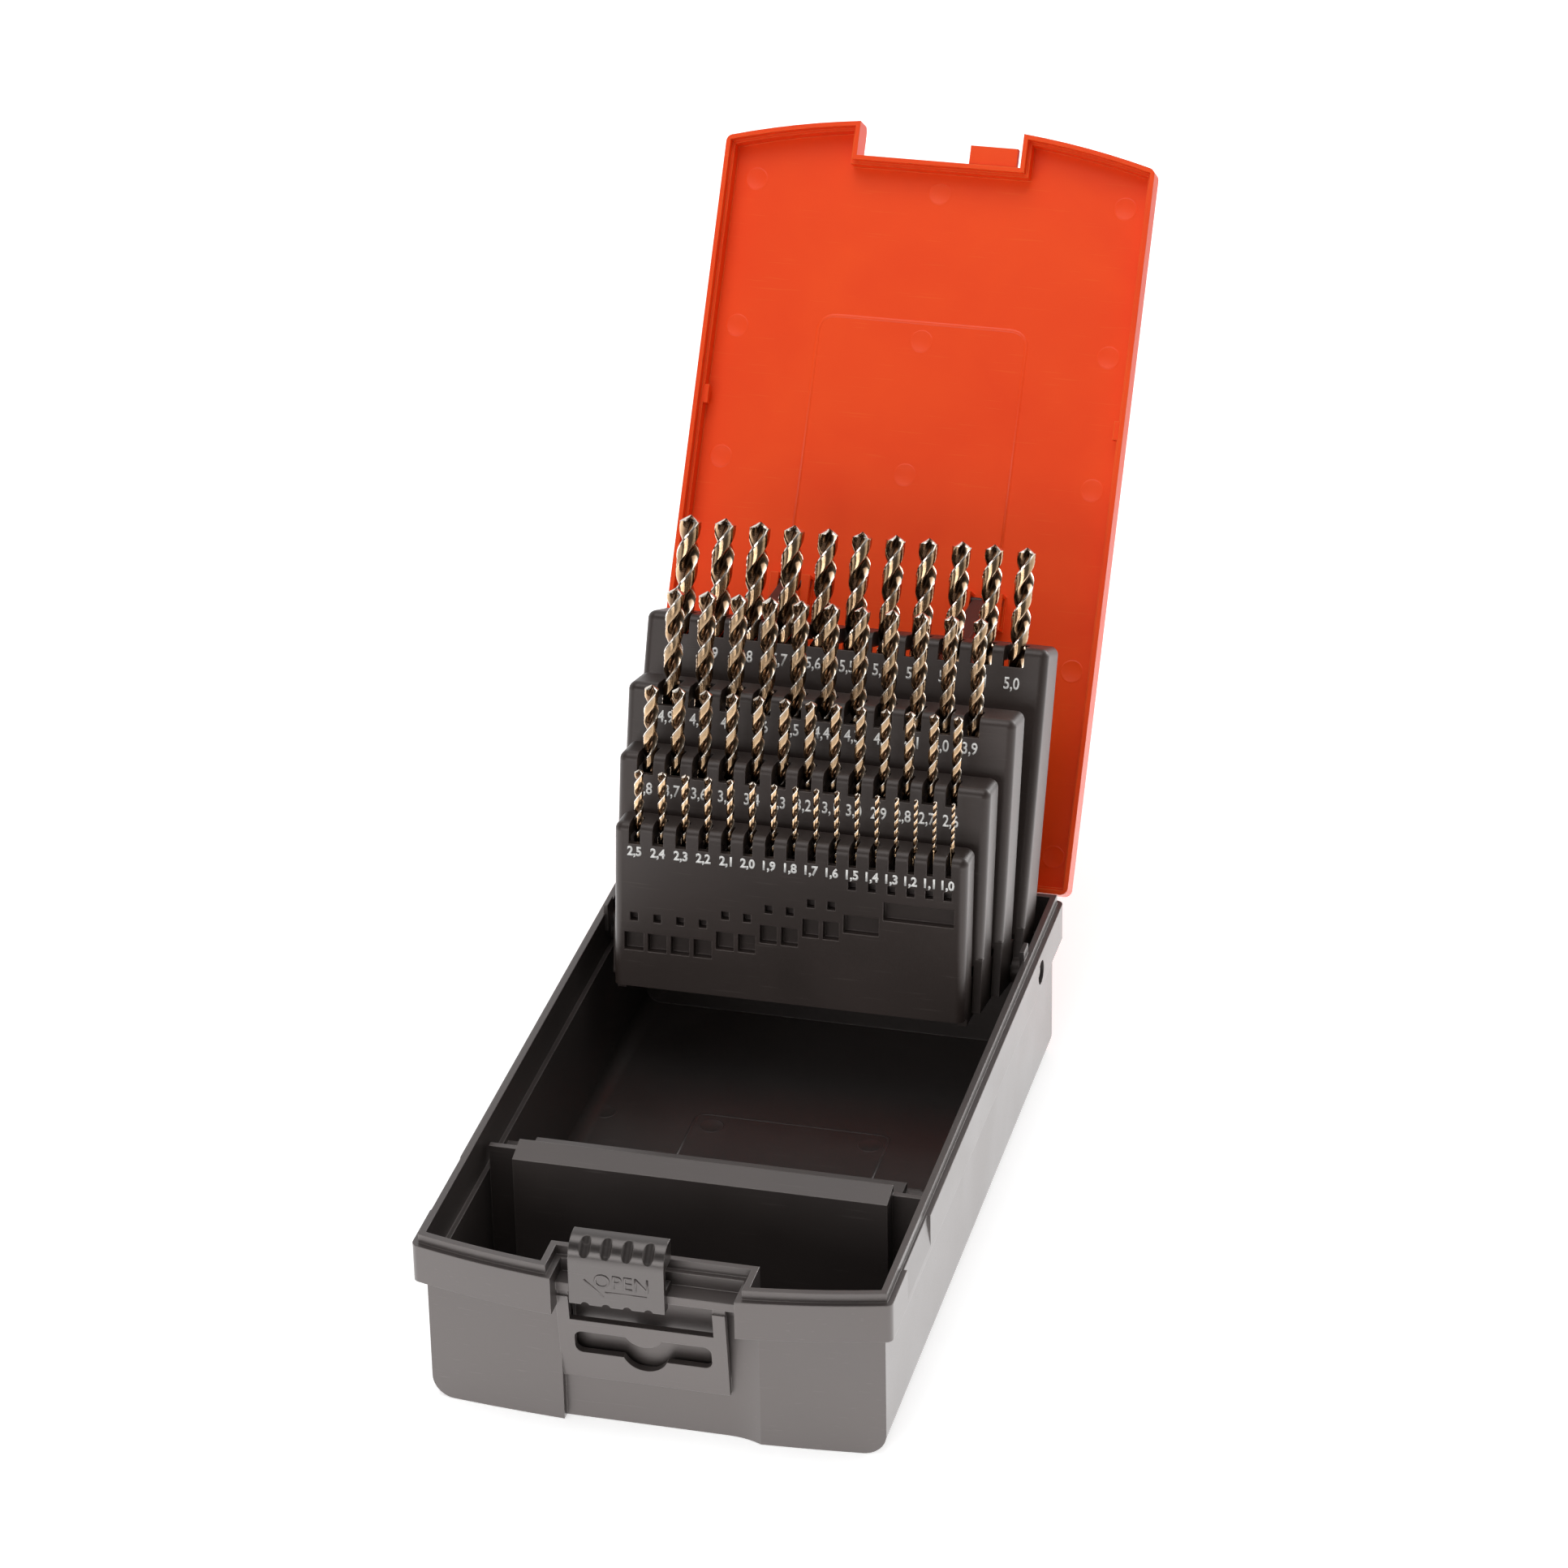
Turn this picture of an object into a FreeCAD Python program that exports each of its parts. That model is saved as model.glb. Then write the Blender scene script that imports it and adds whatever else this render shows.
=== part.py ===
import FreeCAD, Part
import os
import re

# Drill bit case, standing open on its base.
# Origin: centre of the base's underside. +X right, +Y to the lid hinge, +Z up. Millimetres.

os.makedirs("parts", exist_ok=True)
doc = FreeCAD.newDocument("drill_bit_case")
sheet = doc.addObject("Spreadsheet::Sheet", "Sheet")

sizes = {
    # Case outline, shared by the base's band and the lid
    "overrun": 5.0,
    "half_width": 59.0,
    "half_length": 97.55,
    "front_bulge": 8.0,
    "case_corner_radius": 2.0,
    # Base
    "shoulder_height": 44.92,
    "band_height": 10.22,
    "lip_height": 2.5,
    "lip_inset": 1.5,
    "lip_thickness": 1.6,
    "band_floor": 1.8,
    "body_inset": 2.5,
    "body_front_inset": 3.2,
    "body_front_bulge": 3.4,
    "body_edge_radius": 5.5,
    "base_wall": 1.8,
    "floor_thickness": 2.0,
    # Recess for the latch in the middle of the front
    "recess_half_width": 22.5,
    "recess_depth": 2.45,
    "recess_wall": 1.8,
    "sweep_start": 18.0,
    "sweep_radius": 18.8,
    "rail_reach": 5.2,
    "rail_drop": 5.72,
    "rail_thickness": 2.2,
    # Hanging plate under the latch, leaning out from its foot: heights are up the plate
    "plate_left": -22.9,
    "plate_right": 18.8,
    "plate_low": 12.4,
    "plate_set": 1.2,
    "plate_lean": 7.5,
    "plate_thickness": 1.7,
    "plate_height": 17.9,
    "plate_foot": 3.4,
    "plate_foot_depth": 3.2,
    "post_width": 3.1,
    "hook_pocket": 1.3,
    "hook_pocket_low": 15.0,
    "euro_left": -18.95,
    "euro_right": 14.9,
    "euro_bottom": 7.9,
    "euro_top": 14.4,
    "euro_end_radius": 2.0,
    "euro_centre": -1.7,
    "euro_round_radius": 5.8,
    "euro_tongue_radius": 5.2,
    "euro_tongue_drop": 2.6,
    # Stepped rest under the drill tips, placed from the banks' axle
    "rest_side_gap": 7.5,
    "rest_wall": 1.8,
    "rest_reach": 122.4,
    "rest_first_run": 6.7,
    "rest_second_run": 14.0,
    "rest_third_run": 15.5,
    "rest_front_drop": 1.72,
    "rest_first_drop": 0.02,
    "rest_second_drop": 8.12,
    "rest_third_drop": 19.92,
    "gusset_thickness": 1.6,
    "gusset_drop": 2.0,
    # Side snap scoops and the tab that guides the lid
    "snap_from_front": 15.55,
    "snap_length": 24.0,
    "snap_depth": 0.8,
    "snap_drop": 8.52,
    "tab_from_rear": 34.55,
    "tab_length": 5.0,
    "tab_height": 2.6,
    "tab_thickness": 1.2,
    # Lid hinge
    "hinge_behind": 1.75,
    "hinge_drop": 1.21,
    "knuckle_radius": 3.0,
    "knuckle_gap": 0.4,
    "knuckle_length": 10.0,
    "knuckle_side_gap": 0.3,
    "hinge_inner_edge": 17.7,
    "hinge_pin_radius": 1.25,
    "running_gap": 0.05,
    "lid_open_angle": 124.0,
    # Lid
    "lid_gap": 0.08,
    "lid_depth": 7.28,
    "lid_plate": 1.8,
    "lid_rim": 1.2,
    "lid_rim_step": 0.35,
    "lid_wall": 2.0,
    "catch_left": 8.2,
    "catch_right": 21.2,
    "catch_reach": 5.3,
    "catch_rise": 1.28,
    "catch_thickness": 2.4,
    "lug_along": 126.5,
    "lug_length": 5.0,
    "lug_depth": 1.2,
    "lug_height": 2.5,
    # Lid ears that carry the link arms' cross bars
    "ear_inner": 20.9,
    "ear_thickness": 2.2,
    "ear_outer": 31.8,
    "ear_near": 70.2,
    "ear_far": 79.8,
    "ear_reach": 6.6,
    "ear_slot_near": 72.0,
    "ear_slot_far": 78.0,
    "ear_slot_low": 4.4,
    "ear_slot_high": 5.4,
    # Link arms
    "arm_inner": 23.7,
    "arm_outer": 29.0,
    "arm_half_thickness": 0.7,
    "arm_knuckle_radius": 1.8,
    "arm_pivot_radius": 1.2,
    "arm_pivot_reach": 1.4,
    "cross_bar_radius": 0.95,
    "cross_bar_reach": 2.6,
    "arm_pivot_up": 80.55,
    "arm_pivot_back": 9.92,
    "arm_length": 36.27,
    "arm_dip": 6.28,
    "arm_side_gap": 0.3,
    # Latch slider
    "slider_left": -18.6,
    "slider_right": 4.9,
    "slider_reach": 7.2,
    "slider_wall": 1.6,
    "slider_rear_gap": 0.4,
    "slider_rise": 0.5,
    "slider_round": 5.6,
    "slider_gap": 0.2,
    "slider_lip": 1.6,
    "slider_lower_hook": 1.0,
    "slider_upper_reach": 4.4,
    "groove_radius": 1.6,
    "groove_pitch": 5.2,
    "groove_depth": 0.8,
    "groove_run": 4.5,
    "groove_tilt": 45.0,
    "scallop_radius": 1.1,
    "scallop_drop": 0.35,
    # Common axle of the four banks
    "axle_from_rear": 28.35,
    "axle_drop": 5.42,
    "axle_radius": 1.5,
    "axle_boss_radius": 4.0,
    "axle_boss_gap": 0.25,
    "axle_sink_radius": 3.25,
    "axle_sink_depth": 1.3,
    # Banks: shared sizes
    "bank_side_gap": 5.3,
    "bank_nesting": 2.5,
    "bank_side": 2.2,
    "bank_front": 1.8,
    "bank_slab": 4.0,
    "bank_round": 2.2,
    "bank_boss_radius": 3.5,
    "bank_arm_bottom": -3.5,
    "bank_arm_top": 8.0,
    "bank_wall_bottom": 9.2,
    "core_gap": 0.3,
    "slot_drop": 5.4,
    "drill_gap": 0.25,
    "seat_floor": 1.2,
    "seat_depth": 3.6,
    "seat_back": 1.2,
    "point_share": 0.6,
    # First bank, the lowest
    "first_top": 43.94,
    "first_back": -26.96,
    "first_depth": 8.5,
    "first_lean": 7.0,
    "first_drill_line": 4.2,
    "first_drill_rise": 13.5,
    "first_bottom": -1.0,
    "first_left_edge": 5.5,
    "first_right_edge": 4.85,
    # Second bank
    "second_top": 56.39,
    "second_back": -15.95,
    "second_depth": 10.5,
    "second_lean": 11.0,
    "second_drill_line": 4.6,
    "second_drill_rise": 17.4,
    "second_bottom": -3.0,
    "second_left_edge": 7.2,
    "second_right_edge": 9.8,
    # Third bank
    "third_top": 69.37,
    "third_back": -3.06,
    "third_depth": 12.0,
    "third_lean": 15.0,
    "third_drill_line": 5.0,
    "third_drill_rise": 24.8,
    "third_bottom": 5.8,
    "third_left_edge": 10.6,
    "third_right_edge": 11.4,
    # Fourth bank, the highest
    "fourth_top": 83.62,
    "fourth_back": 12.4,
    "fourth_depth": 13.9,
    "fourth_lean": 23.5,
    "fourth_drill_line": 5.2,
    "fourth_drill_rise": 25.6,
    "fourth_bottom": 9.2,
    "fourth_left_edge": 8.5,
    "fourth_right_edge": 8.9,
    # Windows in the first bank's front wall: centre heights above the axle
    "window_small_width": 2.1,
    "window_small_height": 2.3,
    "window_large_height": 5.0,
    "window_margin": 0.55,
    "window_depth": 2.4,
    "window_large_a": 11.6,
    "window_small_a": 18.5,
    "window_large_b": 14.4,
    "window_small_b": 21.5,
    "window_large_c": 17.6,
    "window_small_c": 24.6,
    "window_large_d": 20.6,
    "window_small_d": 27.5,
    "window_large_e": 23.0,
    "window_small_e": 33.6,
    "window_large_f": 27.6,
    "window_small_f": 33.5,
}

# Drills by row, thickest first: marked size, diameter and overall length of the jobber series.
rows = {
    "fourth": [("6_0", 6.0, 93), ("5_9", 5.9, 93), ("5_8", 5.8, 93), ("5_7", 5.7, 93), ("5_6", 5.6, 93),
               ("5_5", 5.5, 93), ("5_4", 5.4, 93), ("5_3", 5.3, 86), ("5_2", 5.2, 86), ("5_1", 5.1, 86),
               ("5_0", 5.0, 86)],
    "third": [("4_9", 4.9, 86), ("4_8", 4.8, 86), ("4_7", 4.7, 80), ("4_6", 4.6, 80), ("4_5", 4.5, 80),
              ("4_4", 4.4, 80), ("4_3", 4.3, 80), ("4_2", 4.2, 75), ("4_1", 4.1, 75), ("4_0", 4.0, 75),
              ("3_9", 3.9, 75)],
    "second": [("3_8", 3.8, 75), ("3_7", 3.7, 70), ("3_6", 3.6, 70), ("3_5", 3.5, 70), ("3_4", 3.4, 70),
               ("3_3", 3.3, 65), ("3_2", 3.2, 65), ("3_1", 3.1, 65), ("3_0", 3.0, 61), ("2_9", 2.9, 61),
               ("2_8", 2.8, 61), ("2_7", 2.7, 61), ("2_6", 2.6, 57)],
    "first": [("2_5", 2.5, 57), ("2_4", 2.4, 57), ("2_3", 2.3, 53), ("2_2", 2.2, 53), ("2_1", 2.1, 49),
              ("2_0", 2.0, 49), ("1_9", 1.9, 46), ("1_8", 1.8, 46), ("1_7", 1.7, 43), ("1_6", 1.6, 43),
              ("1_5", 1.5, 40), ("1_4", 1.4, 40), ("1_3", 1.3, 38), ("1_2", 1.2, 38), ("1_1", 1.1, 36),
              ("1_0", 1.0, 34)],
}


# Heights and places that follow the sizes above
follows = {
    "band_bottom": "shoulder_height - band_height",
    "recess_front": "recess_depth - half_length",
    "rail_bottom": "shoulder_height - rail_drop",
    "hinge_y": "half_length + hinge_behind",
    "hinge_z": "shoulder_height - hinge_drop",
    "axle_y": "half_length - axle_from_rear",
    "axle_z": "shoulder_height - axle_drop",
    "rest_half_width": "half_width - body_inset - base_wall - rest_side_gap",
    "rest_front": "axle_y - rest_reach",
    "rest_first_rear": "rest_front + rest_first_run",
    "rest_second_rear": "rest_first_rear + rest_second_run",
    "rest_third_rear": "rest_second_rear + rest_third_run",
    "rest_front_height": "shoulder_height - rest_front_drop",
    "rest_first_height": "shoulder_height - rest_first_drop",
    "rest_second_height": "shoulder_height - rest_second_drop",
    "rest_third_height": "shoulder_height - rest_third_drop",
    "snap_front": "snap_from_front - half_length",
        "tab_place": "half_length - tab_from_rear",
    "lid_underside": "shoulder_height + lid_depth",
    "catch_tip": "recess_front - catch_reach",
    "catch_bottom": "shoulder_height + catch_rise",
    "slider_front": "recess_front - slider_reach",
    "slider_rear": "recess_front - slider_rear_gap",
    "slider_top": "lid_underside + lid_plate + slider_rise",
    "fourth_half": "half_width - bank_side_gap",
    "third_half": "fourth_half - bank_nesting",
    "second_half": "third_half - bank_nesting",
    "first_half": "second_half - bank_nesting",
    "bank_core_half": "first_half - bank_side - core_gap",
}
for which, row in rows.items():
    names = ["drill_" + mark for mark, diameter, length in row]
    for name, (mark, diameter, length) in zip(names, row):
        sizes[name + "_width"] = diameter
        sizes[name + "_length"] = float(length)
    widths = " - ".join(name + "_width" for name in names[1:-1])
    room = "2 * %s_half - %s_left_edge - %s_right_edge" % (which, which, which)
    follows[which + "_web"] = "(%s - (%s_width + %s_width) / 2 - %s) / %d" % (
        room, names[0], names[-1], widths, len(row) - 1)
    follows[which + "_start"] = "%s_left_edge - %s_half" % (which, which)

for number, (alias, value) in enumerate(list(sizes.items()) + list(follows.items()), start=1):
    sheet.set("A%d" % number, alias)
    sheet.set("B%d" % number, str(value) if alias in sizes else "=" + value)
    sheet.setAlias("B%d" % number, alias)
    doc.recompute()


def cell(name):
    """The number in a size's cell."""
    return float(sheet.get(name))


def bound(text):
    """Expression text with each size's name pointed at its cell."""
    def pointed(word):
        name = word.group(0)
        return "Sheet." + name if name in sizes or name in follows else name

    return re.sub(r"(?<![\w.])[a-z]\w*", pointed, str(text))


def tie(item, **bindings):
    for path, text in bindings.items():
        item.setExpression(path.replace("__", "."), bound(text))


def box(name, left, right, front, back, low, high):
    item = doc.addObject("Part::Box", name)
    tie(item, Length="(%s) - (%s)" % (right, left), Width="(%s) - (%s)" % (back, front),
        Height="(%s) - (%s)" % (high, low), Placement__Base__x=left, Placement__Base__y=front,
        Placement__Base__z=low)
    return item


def rod(name, radius, left, right, y, z):
    """Cylinder along X."""
    item = doc.addObject("Part::Cylinder", name)
    item.Placement = FreeCAD.Placement(FreeCAD.Vector(), FreeCAD.Rotation(FreeCAD.Vector(0, 1, 0), 90))
    tie(item, Radius=radius, Height="(%s) - (%s)" % (right, left), Placement__Base__x=left,
        Placement__Base__y=y, Placement__Base__z=z)
    return item


def post(name, radius, x, y, low, high):
    """Cylinder along Z."""
    item = doc.addObject("Part::Cylinder", name)
    tie(item, Radius=radius, Height="(%s) - (%s)" % (high, low), Placement__Base__x=x,
        Placement__Base__y=y, Placement__Base__z=low)
    return item


def peg(name, radius, x, front, back, z):
    """Cylinder along Y."""
    item = doc.addObject("Part::Cylinder", name)
    item.Placement = FreeCAD.Placement(FreeCAD.Vector(), FreeCAD.Rotation(FreeCAD.Vector(1, 0, 0), -90))
    tie(item, Radius=radius, Height="(%s) - (%s)" % (back, front), Placement__Base__x=x,
        Placement__Base__y=front, Placement__Base__z=z)
    return item


def fuse(name, items):
    item = doc.addObject("Part::MultiFuse", name)
    item.Shapes = items
    return item


def cut(name, base, tools):
    item = doc.addObject("Part::Cut", name)
    item.Base = base
    item.Tool = tools[0] if len(tools) == 1 else fuse(name + "_tools", tools)
    return item


def common(name, items):
    item = doc.addObject("Part::MultiCommon", name)
    item.Shapes = items
    return item


def fillet(name, base, radius, chosen):
    """Fillet of one radius on the edges whose middle point and direction are chosen."""
    doc.recompute()
    item = doc.addObject("Part::Fillet", name)
    item.Base = base
    edges = []
    for number, edge in enumerate(base.Shape.Edges, start=1):
        middle = edge.valueAt((edge.FirstParameter + edge.LastParameter) / 2)
        ends = edge.valueAt(edge.LastParameter) - edge.valueAt(edge.FirstParameter)
        if ends.Length > 0 and chosen(middle, ends.normalize()):
            edges.append((number, radius, radius))
    item.Edges = edges
    return item


def near(value, target):
    return abs(value - target) < sizes["running_gap"]


def place(item, name, y, z, angle):
    """Turn a finished piece back about an axis along X and set that axis at its place."""
    item.Label = name
    item.Placement = FreeCAD.Placement(FreeCAD.Vector(), FreeCAD.Rotation(FreeCAD.Vector(-1, 0, 0), 1))
    tie(item, Placement__Base__y=y, Placement__Base__z=z, Placement__Rotation__Angle=angle)
    return item


def bowed(name, half, back, low, high, inset, corner_y, bulge, full_half):
    """Block with a front that bulges as one arc, inset evenly from its outline."""
    radius = "((%s)^2 + (%s)^2) / (2 * (%s))" % (full_half, bulge, bulge)
    apex = "(%s) - (%s)" % (corner_y, bulge)
    block = box(name + "_block", "-(%s)" % half, half, "(%s) + (%s)" % (apex, inset), back, low, high)
    arc = post(name + "_arc", "(%s) - (%s)" % (radius, inset), "0", "(%s) + (%s)" % (apex, radius),
               "(%s) - overrun" % low, "(%s) + overrun" % high)
    return common(name, [block, arc])


def band_block(name, inset, low, high):
    return bowed(name, "half_width - (%s)" % inset, "half_length - (%s)" % inset, low, high, inset,
                 "-half_length", "front_bulge", "half_width")


def body_block(name, inset, low, high):
    return bowed(name, "half_width - body_inset - (%s)" % inset, "half_length - body_inset - (%s)" % inset,
                 low, high, inset, "body_front_inset - half_length", "body_front_bulge",
                 "half_width - body_inset")


def recess_block(name, margin, low, high):
    """Room in front of the latch recess, grown by a margin to leave a wall."""
    return box(name, "-(recess_half_width + (%s))" % margin, "recess_half_width + (%s)" % margin,
               "-half_length - front_bulge - overrun", "recess_front + (%s)" % margin, low, high)


# Base shell: the body, the wider band round its top and the lip that the lid's rim goes round
inner_inset = "lip_inset + lip_thickness"
lip_top = "shoulder_height + lip_height"
body_outer = fillet("body_outer", body_block("body_plain", "0", "0", "band_bottom"), sizes["body_edge_radius"],
                    lambda p, d: abs(d.y) > 0.99 and near(p.z, 0) and abs(p.x) > sizes["half_width"] / 2)
band_plain = fillet("band_plain", band_block("band_sharp", "0", "band_bottom", "shoulder_height"),
                    sizes["case_corner_radius"],
                    lambda p, d: abs(d.z) > 0.99 and near(abs(p.x), cell("half_width")))
lip_outer = band_block("lip_outer", "lip_inset", "shoulder_height - lip_height", lip_top)
band_outer = cut("band_outer", band_plain,
                 [recess_block("band_recess", "0", "band_bottom - overrun", "shoulder_height + overrun")])
# Below the band the recess ends square on the left and sweeps out to the front face on the right.
low_recess = box("low_recess", "-recess_half_width", "sweep_start", "-half_length - front_bulge - overrun",
                 "recess_front", "-overrun", "band_bottom + overrun")
sweep = post("recess_sweep", "sweep_radius", "sweep_start", "recess_front - sweep_radius", "-overrun",
             "band_bottom + overrun")
body_front = cut("body_front", body_outer, [low_recess, sweep])
base_outer = fuse("base_outer", [body_front, band_outer])
lip_stepped = cut("lip_stepped", lip_outer,
                  [recess_block("lip_recess", "lip_inset", "band_bottom", lip_top + " + overrun")])
upper_room = cut("upper_room", band_block("upper_room_block", inner_inset, "band_bottom + band_floor",
                                          lip_top + " + overrun"),
                 [recess_block("upper_recess", inner_inset, "0", lip_top + " + 2 * overrun")])
room_round = fillet("room_round", body_block("lower_room_block", "base_wall", "floor_thickness",
                                              "shoulder_height"),
                    cell("body_edge_radius") - cell("base_wall"),
                    lambda p, d: abs(d.y) > 0.99 and near(p.z, cell("floor_thickness"))
                    and abs(p.x) > cell("half_width") / 2)
lower_room = cut("lower_room", room_round,
                 [recess_block("lower_recess", inner_inset, "-overrun", "shoulder_height + overrun")])
base_open = cut("base_open", fuse("base_walls", [base_outer, lip_stepped]), [upper_room, lower_room])

# Stepped rest across the base: three treads under the drill tips, open from below
inner_half = "half_width - body_inset - base_wall"
step_high = [("rest_first", "rest_front", "rest_first_rear", "rest_first_height"),
             ("rest_second", "rest_first_rear", "rest_second_rear", "rest_second_height"),
             ("rest_third", "rest_second_rear", "rest_third_rear", "rest_third_height")]
steps = []
hollows = []
for name, front, rear, height in step_high:
    low_side = "rest_front_height" if name == "rest_first" else height
    steps.append(box(name, "-rest_half_width", "rest_half_width", front, rear, "0", height))
    front_wall = "rest_wall" if name == "rest_first" else "-rest_wall"
    hollows.append(box(name + "_hollow", "-(rest_half_width - rest_wall)", "rest_half_width - rest_wall",
                       front + " + (" + front_wall + ")", rear + " - rest_wall", "-overrun",
                       low_side + " - rest_wall"))
# The first tread slopes down to the front: a wedge comes off its top.
slope = doc.addObject("Part::Wedge", "rest_slope")
tie(slope, Xmin="0", Xmax="2 * rest_half_width + 2 * overrun", X2min="0",
    X2max="2 * rest_half_width + 2 * overrun", Ymin="0", Ymax="rest_first_height - rest_front_height",
    Zmin="0", Zmax="rest_first_rear - rest_front", Z2min="0", Z2max="0")
slope.Placement = FreeCAD.Placement(FreeCAD.Vector(), FreeCAD.Rotation(FreeCAD.Vector(1, 0, 0), -90))
tie(slope, Placement__Base__x="-rest_half_width - overrun", Placement__Base__y="rest_front",
    Placement__Base__z="rest_first_height")
gussets = []
gusset_places = [("rest_first_rear", "rest_first_height"), ("rest_second_rear", "rest_second_height"),
                 ("rest_third_rear", "rest_third_height")]
for side, inner, outer in (("left", "-(%s)" % inner_half, "-rest_half_width + rest_wall"),
                           ("right", "rest_half_width - rest_wall", inner_half)):
    for number, (rear, height) in enumerate(gusset_places, start=1):
        gussets.append(box("gusset_%s_%d" % (side, number), inner, outer, rear + " - gusset_thickness", rear,
                           "floor_thickness", height + " - gusset_drop"))

# Rail that the slider runs on, and the hanging plate below it on two posts
rail = box("rail", "-recess_half_width", "recess_half_width", "recess_front - rail_reach",
           "recess_front + recess_wall", "rail_bottom", "rail_bottom + rail_thickness")
plate = box("plate", "plate_left", "plate_right", "0", "plate_thickness", "0", "plate_height")
plate_foot = box("plate_foot_block", "plate_left", "plate_right", "0", "plate_foot_depth", "0", "plate_foot")
post_reach = "(rail_bottom + rail_thickness / 2 - plate_low) / cos(plate_lean * 1 deg)"
post_left = box("post_left", "plate_left", "plate_left + post_width", "0", "plate_thickness", "0", post_reach)
post_right = box("post_right", "plate_right - post_width", "plate_right", "0", "plate_thickness", "0",
                 post_reach)
euro_y = ("-overrun", "plate_thickness + plate_thickness")
euro_bar = box("euro_bar", "euro_left + euro_end_radius", "euro_right - euro_end_radius", euro_y[0],
               euro_y[1], "euro_bottom", "euro_top")
euro_middle = box("euro_middle", "euro_left", "euro_right", euro_y[0], euro_y[1],
                  "euro_bottom + euro_end_radius", "euro_top - euro_end_radius")
euro_ends = []
for name, x, z in (("a", "euro_left + euro_end_radius", "euro_bottom + euro_end_radius"),
                   ("b", "euro_right - euro_end_radius", "euro_bottom + euro_end_radius"),
                   ("c", "euro_left + euro_end_radius", "euro_top - euro_end_radius"),
                   ("d", "euro_right - euro_end_radius", "euro_top - euro_end_radius")):
    euro_ends.append(peg("euro_end_" + name, "euro_end_radius", x, euro_y[0], euro_y[1], z))
euro_round = peg("euro_round", "euro_round_radius", "euro_centre", euro_y[0], euro_y[1],
                 "(euro_bottom + euro_top) / 2 - euro_end_radius / 2")
euro_hole = fuse("euro_hole", [euro_bar, euro_middle, euro_round] + euro_ends)
euro_tongue = peg("euro_tongue", "euro_tongue_radius", "euro_centre", "-2 * overrun",
                  "plate_thickness + overrun", "euro_top - euro_tongue_drop + euro_tongue_radius")
leaning_plate = cut("leaning_plate", fuse("plate_sum", [plate, plate_foot, post_left, post_right]),
                    [cut("euro_slot", euro_hole, [euro_tongue])])
place(leaning_plate, "leaning_plate", "recess_front - plate_set", "plate_low", "-plate_lean")
# The posts stand back from the way of the slider's lower hook.
hook_way = box("hook_way", "-recess_half_width", "recess_half_width", "recess_front - rail_reach - overrun",
               "recess_front - rail_reach + slider_lower_hook + slider_gap",
               "rail_bottom - 2 * slider_gap - slider_lip", "rail_bottom")
hanger = cut("hanger", leaning_plate, [hook_way])
hook_room = box("hook_room", "plate_left + post_width", "plate_right - post_width", "recess_front - overrun",
                "recess_front + hook_pocket", "hook_pocket_low", "rail_bottom - rail_thickness")

# Bosses and holes for the banks' common axle
bosses = []
sinks = []
for side, sign in (("left", "-"), ("right", "")):
    left, right = ("-half_width", "-(fourth_half + axle_boss_gap)")
    if sign == "":
        left, right = ("fourth_half + axle_boss_gap", "half_width")
    bosses.append(rod("axle_boss_" + side, "axle_boss_radius", left, right, "axle_y", "axle_z"))
    left, right = ("-half_width - overrun", "-half_width + axle_sink_depth")
    if sign == "":
        left, right = ("half_width - axle_sink_depth", "half_width + overrun")
    sinks.append(rod("axle_sink_" + side, "axle_sink_radius", left, right, "axle_y", "axle_z"))
axle_hole = rod("axle_hole", "axle_radius + running_gap", "-half_width - overrun", "half_width + overrun",
                "axle_y", "axle_z")

# Snap scoops in the band's sides, deepest at the top, and the two guide tabs behind the banks
snaps = []
tabs = []
tab_outer = "half_width - lip_inset - lip_thickness + tab_thickness / 3"
for side in ("left", "right"):
    outer, deep, shallow = ("-half_width - overrun", "-half_width + snap_depth", "-half_width")
    tab_edge = ("-(%s)" % tab_outer, "-(%s - tab_thickness)" % tab_outer)
    if side == "right":
        outer, deep, shallow = ("half_width + overrun", "half_width - snap_depth", "half_width")
        tab_edge = ("%s - tab_thickness" % tab_outer, tab_outer)
    scoop = doc.addObject("Part::Wedge", "snap_" + side)
    low_edge, high_edge = (outer, deep) if side == "left" else (deep, outer)
    far_edge = (outer, shallow) if side == "left" else (shallow, outer)
    tie(scoop, Xmin=low_edge, Xmax=high_edge, X2min=far_edge[0], X2max=far_edge[1], Ymin="0",
        Ymax="snap_drop", Zmin="0", Zmax="snap_length", Z2min="0", Z2max="snap_length")
    scoop.Placement = FreeCAD.Placement(FreeCAD.Vector(), FreeCAD.Rotation(FreeCAD.Vector(1, 0, 0), -90))
    tie(scoop, Placement__Base__y="snap_front", Placement__Base__z="shoulder_height")
    snaps.append(scoop)
    tabs.append(box("tab_" + side, tab_edge[0], tab_edge[1], "tab_place - tab_length / 2",
                    "tab_place + tab_length / 2", "shoulder_height - tab_height", lip_top + " + tab_height"))

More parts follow.
